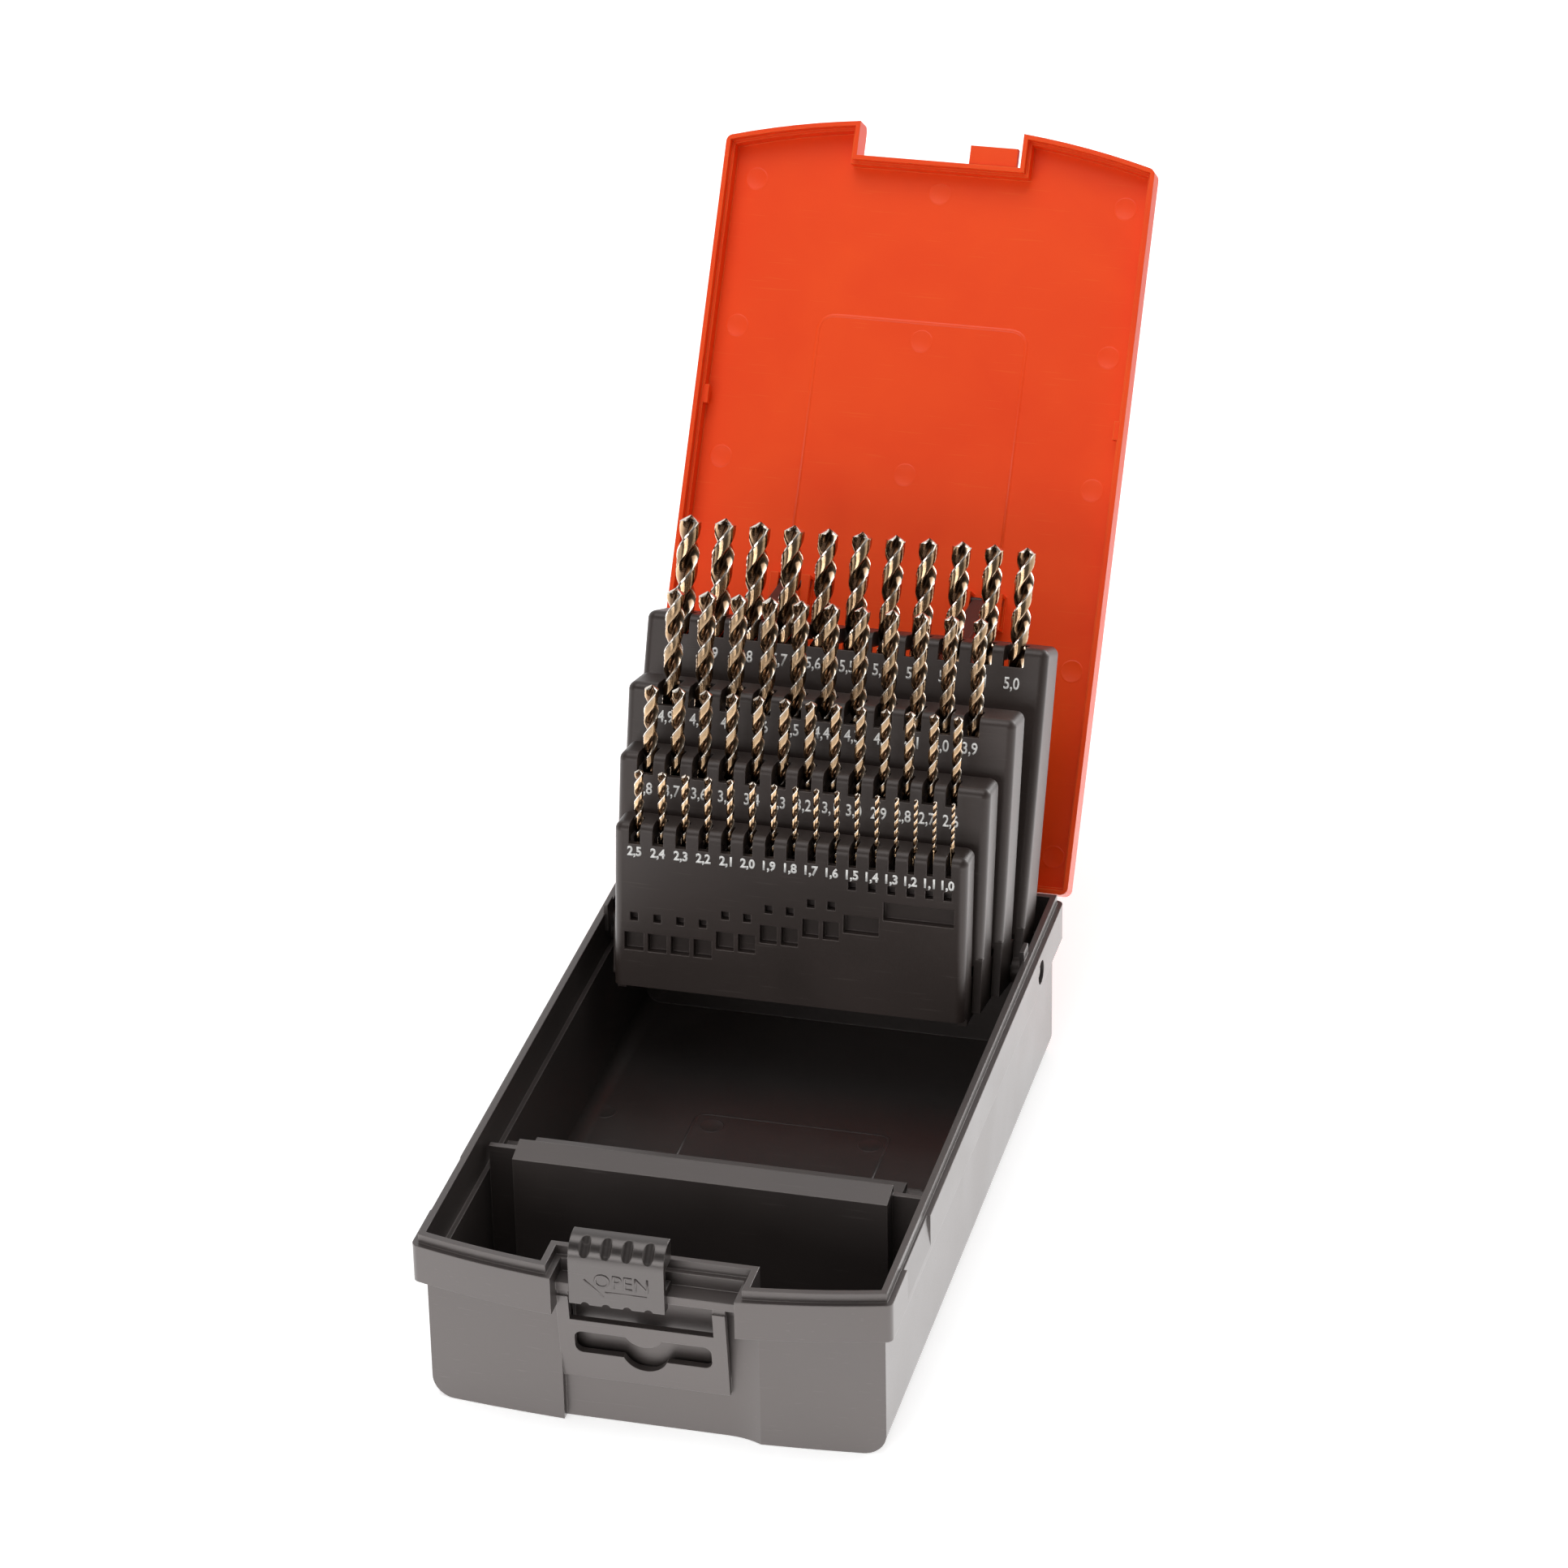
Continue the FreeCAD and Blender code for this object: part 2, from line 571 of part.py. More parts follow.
# Hinge knuckles at the back: on each side the lid has the middle one of three
pitch = "(knuckle_length + knuckle_side_gap)"
base_knuckles = []
base_pockets = []
lid_knuckles = []
lid_pockets = []
for side in ("left", "right"):
    for number in range(3):
        near_edge = "hinge_inner_edge + %d * %s" % (number, pitch)
        far_edge = near_edge + " + knuckle_length"
        left, right = (near_edge, far_edge) if side == "right" else ("-(%s)" % far_edge, "-(%s)" % near_edge)
        wide_left = "%s - knuckle_side_gap" % left
        wide_right = "%s + knuckle_side_gap" % right
        name = "%s_%d" % (side, number + 1)
        if number == 1:
            lid_knuckles.append(rod("lid_knuckle_" + name, "knuckle_radius", left, right, "0", "0"))
            base_pockets.append(rod("base_pocket_" + name, "knuckle_radius + knuckle_gap", wide_left,
                                    wide_right, "hinge_y", "hinge_z"))
        else:
            base_knuckles.append(rod("base_knuckle_" + name, "knuckle_radius", left, right, "hinge_y",
                                     "hinge_z"))
            lid_pockets.append(rod("lid_pocket_" + name, "knuckle_radius + knuckle_gap", wide_left,
                                   wide_right, "0", "0"))
pin_span = "hinge_inner_edge + 3 * knuckle_length + 2 * knuckle_side_gap"
base_pin_holes = []
lid_pin_holes = []
for side in ("left", "right"):
    left, right = ("hinge_inner_edge - overrun", pin_span + " + overrun")
    if side == "left":
        left, right = ("-(%s + overrun)" % pin_span, "-(hinge_inner_edge - overrun)")
    base_pin_holes.append(rod("base_pin_hole_" + side, "hinge_pin_radius + running_gap", left, right,
                              "hinge_y", "hinge_z"))
    lid_pin_holes.append(rod("lid_pin_hole_" + side, "hinge_pin_radius + running_gap", left, right, "0", "0"))

base_walls_cut = cut("base_walls_cut", base_open, [hook_room])
base_full = fuse("base_full", [base_walls_cut, rail, hanger] + steps + gussets + bosses + base_knuckles + tabs)
base_shell = cut("base_shell", base_full,
                 hollows + [slope, axle_hole] + sinks + snaps + base_pockets + base_pin_holes)
base_shell.Label = "base_shell"

# Lid shell, drawn closed about the hinge axis as its origin
lid_bottom = "shoulder_height + lid_gap - hinge_z"
lid_top = "lid_underside + lid_plate - hinge_z"


def lid_block(name, inset, low, high):
    return bowed(name, "half_width - (%s)" % inset, "half_length - (%s) - hinge_y" % inset, low, high, inset,
                 "-half_length - hinge_y", "front_bulge", "half_width")


def lid_recess(name, margin, low, high):
    return box(name, "-(recess_half_width + (%s))" % margin, "recess_half_width + (%s)" % margin,
               "-half_length - front_bulge - overrun - hinge_y", "recess_front + (%s) - hinge_y" % margin,
               low, high)


lid_plain = cut("lid_plain", lid_block("lid_outer", "0", lid_bottom, lid_top),
                [lid_recess("lid_notch", "0", lid_bottom + " - overrun", lid_top + " + overrun")])
lid_round = fillet("lid_round", lid_plain, sizes["case_corner_radius"],
                   lambda p, d: (near(p.z, cell("lid_underside") + cell("lid_plate") - cell("hinge_z"))
                                 and (abs(p.x) > cell("recess_half_width") + cell("lid_gap")
                                      or p.y > -cell("half_length")))
                   or (abs(d.z) > 0.99 and near(abs(p.x), cell("half_width"))))
rim_room = cut("rim_room", lid_block("rim_room_block", "lid_rim", lid_bottom + " - overrun",
                                     lip_top + " + lid_rim_step - hinge_z"),
               [lid_recess("rim_recess", "lid_rim", lid_bottom + " - 2 * overrun", lid_top)])
lid_room = cut("lid_room", lid_block("lid_room_block", "lid_wall", "0", "lid_underside - hinge_z"),
               [lid_recess("room_recess", "lid_wall", "-overrun", lid_top)])
lid_hollow = cut("lid_hollow", lid_round, [rim_room, lid_room])
catch = box("catch", "catch_left", "catch_right", "catch_tip - hinge_y",
            "recess_front + lid_rim - hinge_y", "catch_bottom - hinge_z",
            "catch_bottom + catch_thickness - hinge_z")
lugs = []
for side in ("left", "right"):
    left, right = ("-half_width + lid_wall / 2", "-half_width + lid_wall + lug_depth")
    if side == "right":
        left, right = ("half_width - lid_wall - lug_depth", "half_width - lid_wall / 2")
    lugs.append(box("lug_" + side, left, right, "-(lug_along + lug_length / 2)",
                    "-(lug_along - lug_length / 2)", lip_top + " + lid_rim_step - hinge_z",
                    lip_top + " + lid_rim_step + lug_height - hinge_z"))
ears = []
ear_slots = []
for side in ("left", "right"):
    for name, near_x, far_x in (("inner", "ear_inner", "ear_inner + ear_thickness"),
                                ("outer", "ear_outer - ear_thickness", "ear_outer")):
        left, right = (near_x, far_x) if side == "right" else ("-(%s)" % far_x, "-(%s)" % near_x)
        ears.append(box("ear_%s_%s" % (name, side), left, right, "-ear_far", "-ear_near",
                        "lid_underside - hinge_z - ear_reach", "lid_underside - hinge_z + lid_plate / 2"))
    left, right = ("ear_inner - overrun", "ear_outer + overrun")
    if side == "left":
        left, right = ("-ear_outer - overrun", "-ear_inner + overrun")
    slot_low = "ear_slot_low - cross_bar_radius - drill_gap"
    slot_high = "ear_slot_high + cross_bar_radius + drill_gap"
    ear_slots.append(box("ear_slot_" + side, left, right, "-ear_slot_far - cross_bar_radius",
                         "-ear_slot_near + cross_bar_radius", slot_low, slot_high))
knuckle_webs = []
for side in ("left", "right"):
    near_edge = "hinge_inner_edge + " + pitch
    left, right = (near_edge, near_edge + " + knuckle_length")
    if side == "left":
        left, right = ("-(%s + knuckle_length)" % near_edge, "-(%s)" % near_edge)
    knuckle_webs.append(box("knuckle_web_" + side, left, right, "half_length - lid_rim / 2 - hinge_y",
                            "knuckle_radius / 2", lid_bottom, "2 * knuckle_radius - lid_plate"))
lid_sum = fuse("lid_sum", [lid_hollow, catch] + lugs + ears + lid_knuckles + knuckle_webs)
lid_shell = cut("lid_shell", lid_sum, ear_slots + lid_pockets + lid_pin_holes)
place(lid_shell, "lid_shell", "hinge_y", "hinge_z", "lid_open_angle")

# Two steel hinge pins, one through each set of three knuckles
pins = []
for side in ("left", "right"):
    left, right = ("hinge_inner_edge", pin_span)
    if side == "left":
        left, right = ("-(%s)" % pin_span, "-hinge_inner_edge")
    pins.append(rod("hinge_pin_" + side, "hinge_pin_radius", left, right, "hinge_y", "hinge_z"))
hinge_pins = doc.addObject("Part::Compound", "hinge_pins")
hinge_pins.Links = pins
hinge_pins.Label = "lid_hinge_pins"

# Latch slider: a front plate with a rounded cap that goes over the lid's catch
plate_body = box("slider_plate", "slider_left", "slider_right", "slider_front", "slider_front + slider_wall",
                 "rail_bottom - slider_gap - slider_lip", "slider_top - slider_round")
cap_block = box("slider_cap", "slider_left", "slider_right", "slider_front + slider_round", "slider_rear",
                "slider_top - slider_round", "slider_top")
cap_round = rod("slider_cap_round", "slider_round", "slider_left", "slider_right",
                "slider_front + slider_round", "slider_top - slider_round")
cap_top = cut("slider_cap_top", cap_round,
              [box("slider_cap_trim", "slider_left - overrun", "slider_right + overrun",
                   "slider_front - overrun", "slider_front + 2 * slider_round + overrun",
                   "slider_top - 2 * slider_round - overrun", "slider_top - slider_round"),
               box("slider_rear_trim", "slider_left - overrun", "slider_right + overrun", "slider_rear",
                   "slider_rear + 2 * slider_round", "slider_top - 2 * slider_round - overrun",
                   "slider_top + overrun")])
lower_lip = box("slider_lower_lip", "slider_left", "slider_right", "slider_front",
                "recess_front - rail_reach + slider_lower_hook",
                "rail_bottom - slider_gap - slider_lip", "rail_bottom - slider_gap")
upper_lip = box("slider_upper_lip", "slider_left", "slider_right", "slider_front",
                "slider_front + slider_wall + slider_upper_reach",
                "rail_bottom + rail_thickness + slider_gap",
                "rail_bottom + rail_thickness + slider_gap + slider_lip")
grooves = []
for number, step in enumerate((-1.5, -0.5, 0.5, 1.5), start=1):
    centre = "(slider_left + slider_right) / 2 + (%s) * groove_pitch" % step
    groove = doc.addObject("Part::Cylinder", "groove_%d" % number)
    groove.Placement = FreeCAD.Placement(FreeCAD.Vector(), FreeCAD.Rotation(FreeCAD.Vector(-1, 0, 0), 1))
    out = "(slider_round - groove_depth + groove_radius)"
    tie(groove, Radius="groove_radius", Height="2 * groove_run", Placement__Rotation__Angle="groove_tilt",
        Placement__Base__x=centre,
        Placement__Base__y="slider_front + slider_round - " + out + " * cos(groove_tilt * 1 deg)"
        " - groove_run * sin(groove_tilt * 1 deg)",
        Placement__Base__z="slider_top - slider_round + " + out + " * sin(groove_tilt * 1 deg)"
        " - groove_run * cos(groove_tilt * 1 deg)")
    grooves.append(groove)
    grooves.append(peg("scallop_%d" % number, "scallop_radius", centre, "slider_front - overrun",
                       "slider_front + slider_wall + overrun",
                       "rail_bottom - slider_gap - slider_lip - scallop_drop"))
latch_slider = cut("latch_slider", fuse("slider_sum", [plate_body, cap_block, cap_top, lower_lip,
                                                       upper_lip]), grooves)
latch_slider.Label = "latch_slider"

# Steel axle through both walls and all four banks
bank_axle = rod("bank_axle", "axle_radius", "-half_width + axle_sink_depth / 2",
                "half_width - axle_sink_depth / 2", "axle_y", "axle_z")
bank_axle.Label = "bank_axle"


def bank_local(which):
    """Heights of a bank above the axle, and depths behind it, as expressions."""
    front = "(%s_back - %s_depth)" % (which, which)
    line = "(%s + %s_drill_line)" % (front, which)
    tip = "(%s_top + %s_drill_rise)" % (which, which)
    return front, line, tip


# Drills of each row: a shank with a cone point, each standing on its seat in the bank
drill_parts = {}
drill_x = {}
for which, row in rows.items():
    front, line, tip = bank_local(which)
    last = None
    for mark, diameter, length in row:
        name = "drill_" + mark
        if last is None:
            x = which + "_start"
        else:
            x = "%s + (%s_width + %s_width) / 2 + %s_web" % (drill_x[last], last, name, which)
        foot = "%s - %s_length" % (tip, name)
        point = "%s_width / 2 * point_share" % name
        shank = post(name + "_shank", name + "_width / 2", x, line, foot, "%s - %s" % (tip, point))
        cone = doc.addObject("Part::Cone", name + "_point")
        tie(cone, Radius1=name + "_width / 2", Radius2="0", Height=point,
            Placement__Base__x=x, Placement__Base__y=line,
            Placement__Base__z="%s - %s" % (tip, point))
        drill_x[name] = "(%s_shank.Placement.Base.x / 1 mm)" % name
        drill_parts[name] = fuse(name, [shank, cone])
        last = name
drill_nodes = []
joined = {"drill_1_1": "drill_1_0", "drill_1_3": "drill_1_2"}
for which, row in rows.items():
    for mark, diameter, length in row:
        name = "drill_" + mark
        if name in joined.values():
            continue
        item = drill_parts[name]
        label = name
        if name in joined:
            item = doc.addObject("Part::Compound", name + "_pair")
            item.Links = [drill_parts[name], drill_parts[joined[name]]]
            label = joined[name] + "_and_" + name.replace("drill_", "")
        place(item, label, "axle_y", "axle_z", which + "_lean")
        drill_nodes.append(item)


def seat_groups(which):
    """Neighbouring drills that share one seat height."""
    if which == "first":
        return [(["2_5", "2_4", "2_3", "2_2"], "a"), (["2_1", "2_0"], "b"), (["1_9", "1_8"], "c"),
                (["1_7", "1_6"], "d"), (["1_5", "1_4"], "e"), (["1_3", "1_2", "1_1", "1_0"], "f")]
    groups = []
    for mark, diameter, length in rows[which]:
        if groups and groups[-1][1] == length:
            groups[-1][0].append(mark)
        else:
            groups.append(([mark], length))
    return groups


def make_bank(which):
    front, line, tip = bank_local(which)
    back, top, half, web = which + "_back", which + "_top", which + "_half", which + "_web"
    bottom = which + "_bottom"
    wide_bottom = bottom if which == "first" else "bank_wall_bottom"
    plain = box(which + "_block", "-" + half, half, front, back, wide_bottom, top)
    front_y = sizes[back] - sizes[which + "_depth"]
    rounded = fillet(which + "_rounded", plain, sizes["bank_round"],
                     lambda p, d: (near(p.z, sizes[top]) and (near(p.y, front_y) or near(abs(p.x), cell(half))))
                     or (near(p.y, front_y) and near(abs(p.x), cell(half))))
    room = box(which + "_room", "-(%s - bank_side)" % half, "%s - bank_side" % half, front + " + bank_front",
               back + " + overrun", wide_bottom + " - overrun", top + " - bank_slab")
    pieces = [cut(which + "_shell", rounded, [room])]
    if which != "first":
        pieces.append(box(which + "_apron", "-bank_core_half", "bank_core_half", front, front + " + bank_front",
                          bottom, "bank_wall_bottom + bank_front"))
    cuts = []
    for side in ("left", "right"):
        left, right = ("-" + half, "-(%s - bank_side)" % half)
        if side == "right":
            left, right = ("%s - bank_side" % half, half)
        pieces.append(rod("%s_boss_%s" % (which, side), "bank_boss_radius", left, right, "0", "0"))
        if which == "fourth":
            pieces.append(box("%s_arm_%s" % (which, side), left, right, front, back, "bank_arm_bottom",
                              "bank_wall_bottom + bank_front"))
        else:
            arm_front = front + (" + 2 * bank_round" if which == "first" else "")
            pieces.append(box("%s_arm_%s" % (which, side), left, right, arm_front, "0", "bank_arm_bottom",
                              "bank_arm_top"))
            if which != "first":
                pieces.append(box("%s_wall_%s" % (which, side), left, right, front, back, "0",
                                  "bank_wall_bottom + bank_front"))
    groups = seat_groups(which)
    for number, (names, key) in enumerate(groups):
        first, last = "drill_" + names[0], "drill_" + names[-1]
        left = "%s - %s_width / 2 - %s / 2" % (drill_x[first], first, web)
        right = "%s + %s_width / 2 + %s / 2" % (drill_x[last], last, web)
        if which == "first":
            seat_top = "window_small_%s + window_small_height / 2 + window_margin" % key
        else:
            seat_top = "%s - %s_length + seat_depth" % (tip, first)
        if number == 0 and which in ("first", "second", "third"):
            left = "-bank_core_half"
        if number == len(groups) - 1 and which in ("first", "second", "third"):
            right = "bank_core_half"
        seat_bottom = bottom
        if which == "fourth":
            seat_bottom = "%s - %s_length - seat_floor" % (tip, first)
            if number == 0:
                left = "-(%s - bank_side)" % half
            if number == len(groups) - 1:
                right = "%s - bank_side" % half
        pieces.append(box("%s_seat_%d" % (which, number + 1), left, right, front,
                          "%s + %s_width / 2 + seat_back" % (line, first), seat_bottom, seat_top))
        if which == "first":
            large = "window_large_" + key
            small = "window_small_" + key
            spans = [[name] for name in names]
            if key in ("e", "f"):
                spans = [names]
            for span in spans:
                near_name, far_name = "drill_" + span[0], "drill_" + span[-1]
                cuts.append(box("window_large_" + span[0],
                                "%s - %s_width / 2 - %s / 2 + window_margin" % (drill_x[near_name],
                                                                               near_name, web),
                                "%s + %s_width / 2 + %s / 2 - window_margin" % (drill_x[far_name],
                                                                               far_name, web),
                                front + " - overrun", front + " + window_depth", large
                                + " - window_large_height / 2", large + " + window_large_height / 2"))
            for name in names:
                x = drill_x["drill_" + name]
                cuts.append(box("window_small_" + name, x + " - window_small_width / 2",
                                x + " + window_small_width / 2", front + " - overrun", front + " + window_depth",
                                small + " - window_small_height / 2", small + " + window_small_height / 2"))
    if which == "fourth":
        for side in ("left", "right"):
            for edge, near_x, far_x in (("inner", "arm_inner - arm_side_gap - ear_thickness",
                                         "arm_inner - arm_side_gap"),
                                        ("outer", "arm_outer + arm_side_gap",
                                         "arm_outer + arm_side_gap + ear_thickness")):
                left, right = (near_x, far_x) if side == "right" else ("-(%s)" % far_x, "-(%s)" % near_x)
                pieces.append(box("fourth_ear_%s_%s" % (edge, side), left, right,
                                  "arm_pivot_back - 2 * arm_pivot_radius", back,
                                  "arm_pivot_up - 2 * arm_knuckle_radius", top + " - bank_round"))
            left, right = ("arm_inner - arm_side_gap", "arm_outer + arm_side_gap")
            hole = ("arm_inner - arm_pivot_reach - arm_side_gap", "arm_outer + arm_pivot_reach + arm_side_gap")
            if side == "left":
                left, right = ("-arm_outer - arm_side_gap", "-arm_inner + arm_side_gap")
                hole = ("-arm_outer - arm_pivot_reach - arm_side_gap",
                        "-arm_inner + arm_pivot_reach + arm_side_gap")
            cuts.append(box("fourth_pocket_" + side, left, right,
                            "arm_pivot_back - arm_knuckle_radius - drill_gap",
                            back + " + overrun", "arm_pivot_up - 4 * arm_knuckle_radius",
                            "arm_pivot_up + arm_knuckle_radius + drill_gap"))
            cuts.append(rod("fourth_pivot_hole_" + side, "arm_pivot_radius + running_gap", hole[0], hole[1],
                            "arm_pivot_back", "arm_pivot_up"))
    for mark, diameter, length in rows[which]:
        name = "drill_" + mark
        x = drill_x[name]
        reach = "(%s_width / 2 + drill_gap)" % name
        cuts.append(box(name + "_slot", "%s - %s" % (x, reach), "%s + %s" % (x, reach), front + " - overrun",
                        "%s + %s" % (line, reach), top + " - slot_drop", top + " + overrun"))
        cuts.append(post(name + "_socket", reach, x, line, "%s - %s_length" % (tip, name),
                         top + " - bank_slab"))
    cuts.append(rod(which + "_axle_hole", "axle_radius + running_gap", "-%s - overrun" % half,
                    half + " + overrun", "0", "0"))
    bank = cut(which + "_bank", fuse(which + "_sum", pieces), cuts)
    return place(bank, "bank_" + which, "axle_y", "axle_z", which + "_lean")


banks = [make_bank(which) for which in ("first", "second", "third", "fourth")]

# Link arms between the fourth bank and the lid, drawn along Y from the bank pivot
arms = []
for side in ("left", "right"):
    left, right = ("arm_inner", "arm_outer")
    stub = ("arm_inner - arm_pivot_reach", "arm_outer + arm_pivot_reach")
    bar = ("arm_inner - cross_bar_reach", "arm_outer + cross_bar_reach")
    if side == "left":
        left, right = ("-arm_outer", "-arm_inner")
        stub = ("-arm_outer - arm_pivot_reach", "-arm_inner + arm_pivot_reach")
        bar = ("-arm_outer - cross_bar_reach", "-arm_inner + cross_bar_reach")
    blade = box("arm_blade_" + side, left, right, "0", "arm_length", "-arm_half_thickness",
                "arm_half_thickness")
    knuckle = rod("arm_knuckle_" + side, "arm_knuckle_radius", left, right, "0", "0")
    stubs = rod("arm_stubs_" + side, "arm_pivot_radius", stub[0], stub[1], "0", "0")
    cross = rod("arm_cross_" + side, "cross_bar_radius", bar[0], bar[1], "arm_length", "0")
    arm = fuse("arm_" + side, [blade, knuckle, stubs, cross])
    pivot_y = "axle_y + arm_pivot_up * sin(fourth_lean * 1 deg) + arm_pivot_back * cos(fourth_lean * 1 deg)"
    pivot_z = "axle_z + arm_pivot_up * cos(fourth_lean * 1 deg) - arm_pivot_back * sin(fourth_lean * 1 deg)"
    arms.append(place(arm, "link_arm_" + side, pivot_y, pivot_z, "arm_dip"))

doc.recompute()
nodes = [base_shell, lid_shell, hinge_pins, latch_slider, bank_axle] + banks + arms + drill_nodes

faults = []
for item in doc.Objects:
    if "Invalid" in item.State or "Error" in item.State:
        faults.append("%s: %s" % (item.Name, item.State))
for item in nodes:
    if item.Shape.isNull() or not item.Shape.isValid():
        faults.append("%s: shape" % item.Label)
if faults:
    raise RuntimeError("; ".join(faults))

for item in nodes:
    print(item.Label, len(item.Shape.Solids), round(item.Shape.Volume, 1))
    item.Shape.exportStep("parts/%s.step" % item.Label)
print(len(nodes), "nodes")
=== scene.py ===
import math
import random
from collections import namedtuple

import bmesh
import bpy
from mathutils import Matrix, Vector


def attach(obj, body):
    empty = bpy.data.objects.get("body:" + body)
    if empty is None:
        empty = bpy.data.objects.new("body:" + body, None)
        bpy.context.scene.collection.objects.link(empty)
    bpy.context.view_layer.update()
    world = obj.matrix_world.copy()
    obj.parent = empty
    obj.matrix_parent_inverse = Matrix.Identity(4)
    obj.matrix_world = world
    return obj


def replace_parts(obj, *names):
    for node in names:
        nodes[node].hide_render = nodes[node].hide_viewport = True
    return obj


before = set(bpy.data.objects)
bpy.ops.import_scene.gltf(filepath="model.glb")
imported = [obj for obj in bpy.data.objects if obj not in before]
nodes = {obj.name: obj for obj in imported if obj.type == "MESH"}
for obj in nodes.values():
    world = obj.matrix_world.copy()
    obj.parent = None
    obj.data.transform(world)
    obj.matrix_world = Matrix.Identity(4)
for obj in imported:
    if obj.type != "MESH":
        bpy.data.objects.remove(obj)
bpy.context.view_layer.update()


# Base. A deep open box with a stepped rest for the drill points, a rail and a
# hanging plate at the front. One injection moulding in black polypropylene,
# from a tool whose outer faces are spark eroded to a fine even grain.
mm = 0.001
# the colour sockets of a Mix node: its two colours and its result
mix_a, mix_b, mix_out = 6, 7, 2


def linear(hex_colour):
    """A written sRGB colour as the linear one that a shader takes."""
    shares = [int(hex_colour[i:i + 2], 16) / 255 for i in (1, 3, 5)]
    return tuple(s / 12.92 if s <= 0.04045 else ((s + 0.055) / 1.055) ** 2.4 for s in shares) + (1,)


def add(tree, kind, sockets=None, **settings):
    """A new node with its settings; a socket takes a value or another node's output."""
    made = tree.nodes.new(kind)
    for name, value in settings.items():
        setattr(made, name, value)
    for name, value in (sockets or {}).items():
        if isinstance(value, bpy.types.NodeSocket):
            tree.links.new(value, made.inputs[name])
        else:
            made.inputs[name].default_value = value
    return made


def bare_material(name):
    """A new material with no nodes in it yet, and its tree."""
    material = bpy.data.materials.new(name)
    material.use_nodes = True
    material.node_tree.nodes.clear()
    return material, material.node_tree


def moulded_polypropylene(name, colour, worn_and_highlight, shaded, roughness, grain_depth, specular, edge_radius=0.35):
    """Injection moulded polypropylene: a soft satin sheen broken by the tool's spark
    grain, slow flow marks in its gloss, faint hairline scuffs, and edges rubbed paler
    and lit by a painted highlight.
    The depth of the grain and the radius of the edges are in mm."""
    material, tree = bare_material(name)
    place = add(tree, "ShaderNodeTexCoord").outputs["Object"]
    # spark grain is about 0.1 mm; drawn at 0.45 mm, the finest that shows
    grain_size = 0.45 * mm
    grain = add(tree, "ShaderNodeTexNoise", {"Vector": place, "Scale": 1 / grain_size, "Detail": 2.0,
                                             "Roughness": 0.55})
    # flow marks run 30 mm or so from each gate
    flow_size = 32 * mm
    flow = add(tree, "ShaderNodeTexNoise", {"Vector": place, "Scale": 1 / flow_size, "Detail": 3.0,
                                            "Roughness": 0.5, "Distortion": 0.4})
    # hairline scuffs slant across the faces; really 0.1 mm wide, drawn at 0.5 mm so that they show
    scuff_length, scuff_width = 14 * mm, 0.5 * mm
    slant = add(tree, "ShaderNodeMapping", {"Vector": place, "Rotation": (0.5, 0.35, 0.9),
                                            "Scale": (1 / scuff_length, 1 / scuff_width, 1 / scuff_width)})
    scratch = add(tree, "ShaderNodeTexNoise", {"Vector": slant.outputs[0], "Scale": 1.0, "Detail": 1.0})
    scuff = add(tree, "ShaderNodeMapRange", {"Value": scratch.outputs[0], "From Min": 0.68,
                                             "From Max": 0.78})
    # edges are struck at a small radius, polish paler with handling and carry a painted highlight
    soft_edge = add(tree, "ShaderNodeBevel", {"Radius": edge_radius * mm}, samples=4)
    true_face = add(tree, "ShaderNodeNewGeometry")
    agree = add(tree, "ShaderNodeVectorMath", {0: soft_edge.outputs[0], 1: true_face.outputs["Normal"]},
                operation="DOT_PRODUCT")
    worn_and_highlit_edge = add(tree, "ShaderNodeMapRange", {"Value": agree.outputs["Value"], "From Min": 0.985,
                                                 "From Max": 0.80})
    rubbed_and_highlit = add(tree, "ShaderNodeMath", {0: worn_and_highlit_edge.outputs[0], 1: flow.outputs[0]},
                 operation="MULTIPLY")
    # the colour follows the flow of the melt, and scuffs and rubbed edges with their painted highlight lie
    # over it
    flow_range = {"From Min": 0.3, "From Max": 0.7}
    tone = add(tree, "ShaderNodeMapRange", {"Value": flow.outputs[0], **flow_range})
    body = add(tree, "ShaderNodeMix", {"Factor": tone.outputs[0], mix_a: linear(shaded),
                                       mix_b: linear(colour)}, data_type="RGBA")
    marked = add(tree, "ShaderNodeMath", {0: scuff.outputs[0], 1: 0.10}, operation="MULTIPLY")
    wear_and_highlight = add(tree, "ShaderNodeMath", {0: rubbed_and_highlit.outputs[0], 1: marked.outputs[0]}, operation="ADD",
               use_clamp=True)
    shown = add(tree, "ShaderNodeMix", {"Factor": wear_and_highlight.outputs[0], mix_a: body.outputs[mix_out],
                                        mix_b: linear(worn_and_highlight)}, data_type="RGBA")
    gloss = add(tree, "ShaderNodeMapRange", {"Value": flow.outputs[0], **flow_range,
                                             "To Min": roughness - 0.02, "To Max": roughness + 0.03})
    rough = add(tree, "ShaderNodeMath", {0: gloss.outputs[0], 1: marked.outputs[0]}, operation="ADD")
    relief = add(tree, "ShaderNodeBump", {"Strength": 0.55, "Distance": grain_depth * mm,
                                          "Height": grain.outputs[0], "Normal": soft_edge.outputs[0]})
    shader = add(tree, "ShaderNodeBsdfPrincipled",
                 {"Base Color": shown.outputs[mix_out], "Roughness": rough.outputs[0], "IOR": 1.49,
                  "Specular IOR Level": specular, "Specular Tint": (1.0, 0.93, 0.91, 1.0),
                  "Normal": relief.outputs[0]})
    add(tree, "ShaderNodeOutputMaterial", {"Surface": shader.outputs[0]})
    return material


def finish(piece, material):
    """Gives a piece its one material."""
    piece.data.materials.clear()
    piece.data.materials.append(material)


black_case = moulded_polypropylene("black_polypropylene_case", colour="#3E3836", worn_and_highlight="#8D8682",
                                   shaded="#363130", roughness=0.40, grain_depth=0.03, specular=1.0)
finish(nodes["base_shell"], black_case)


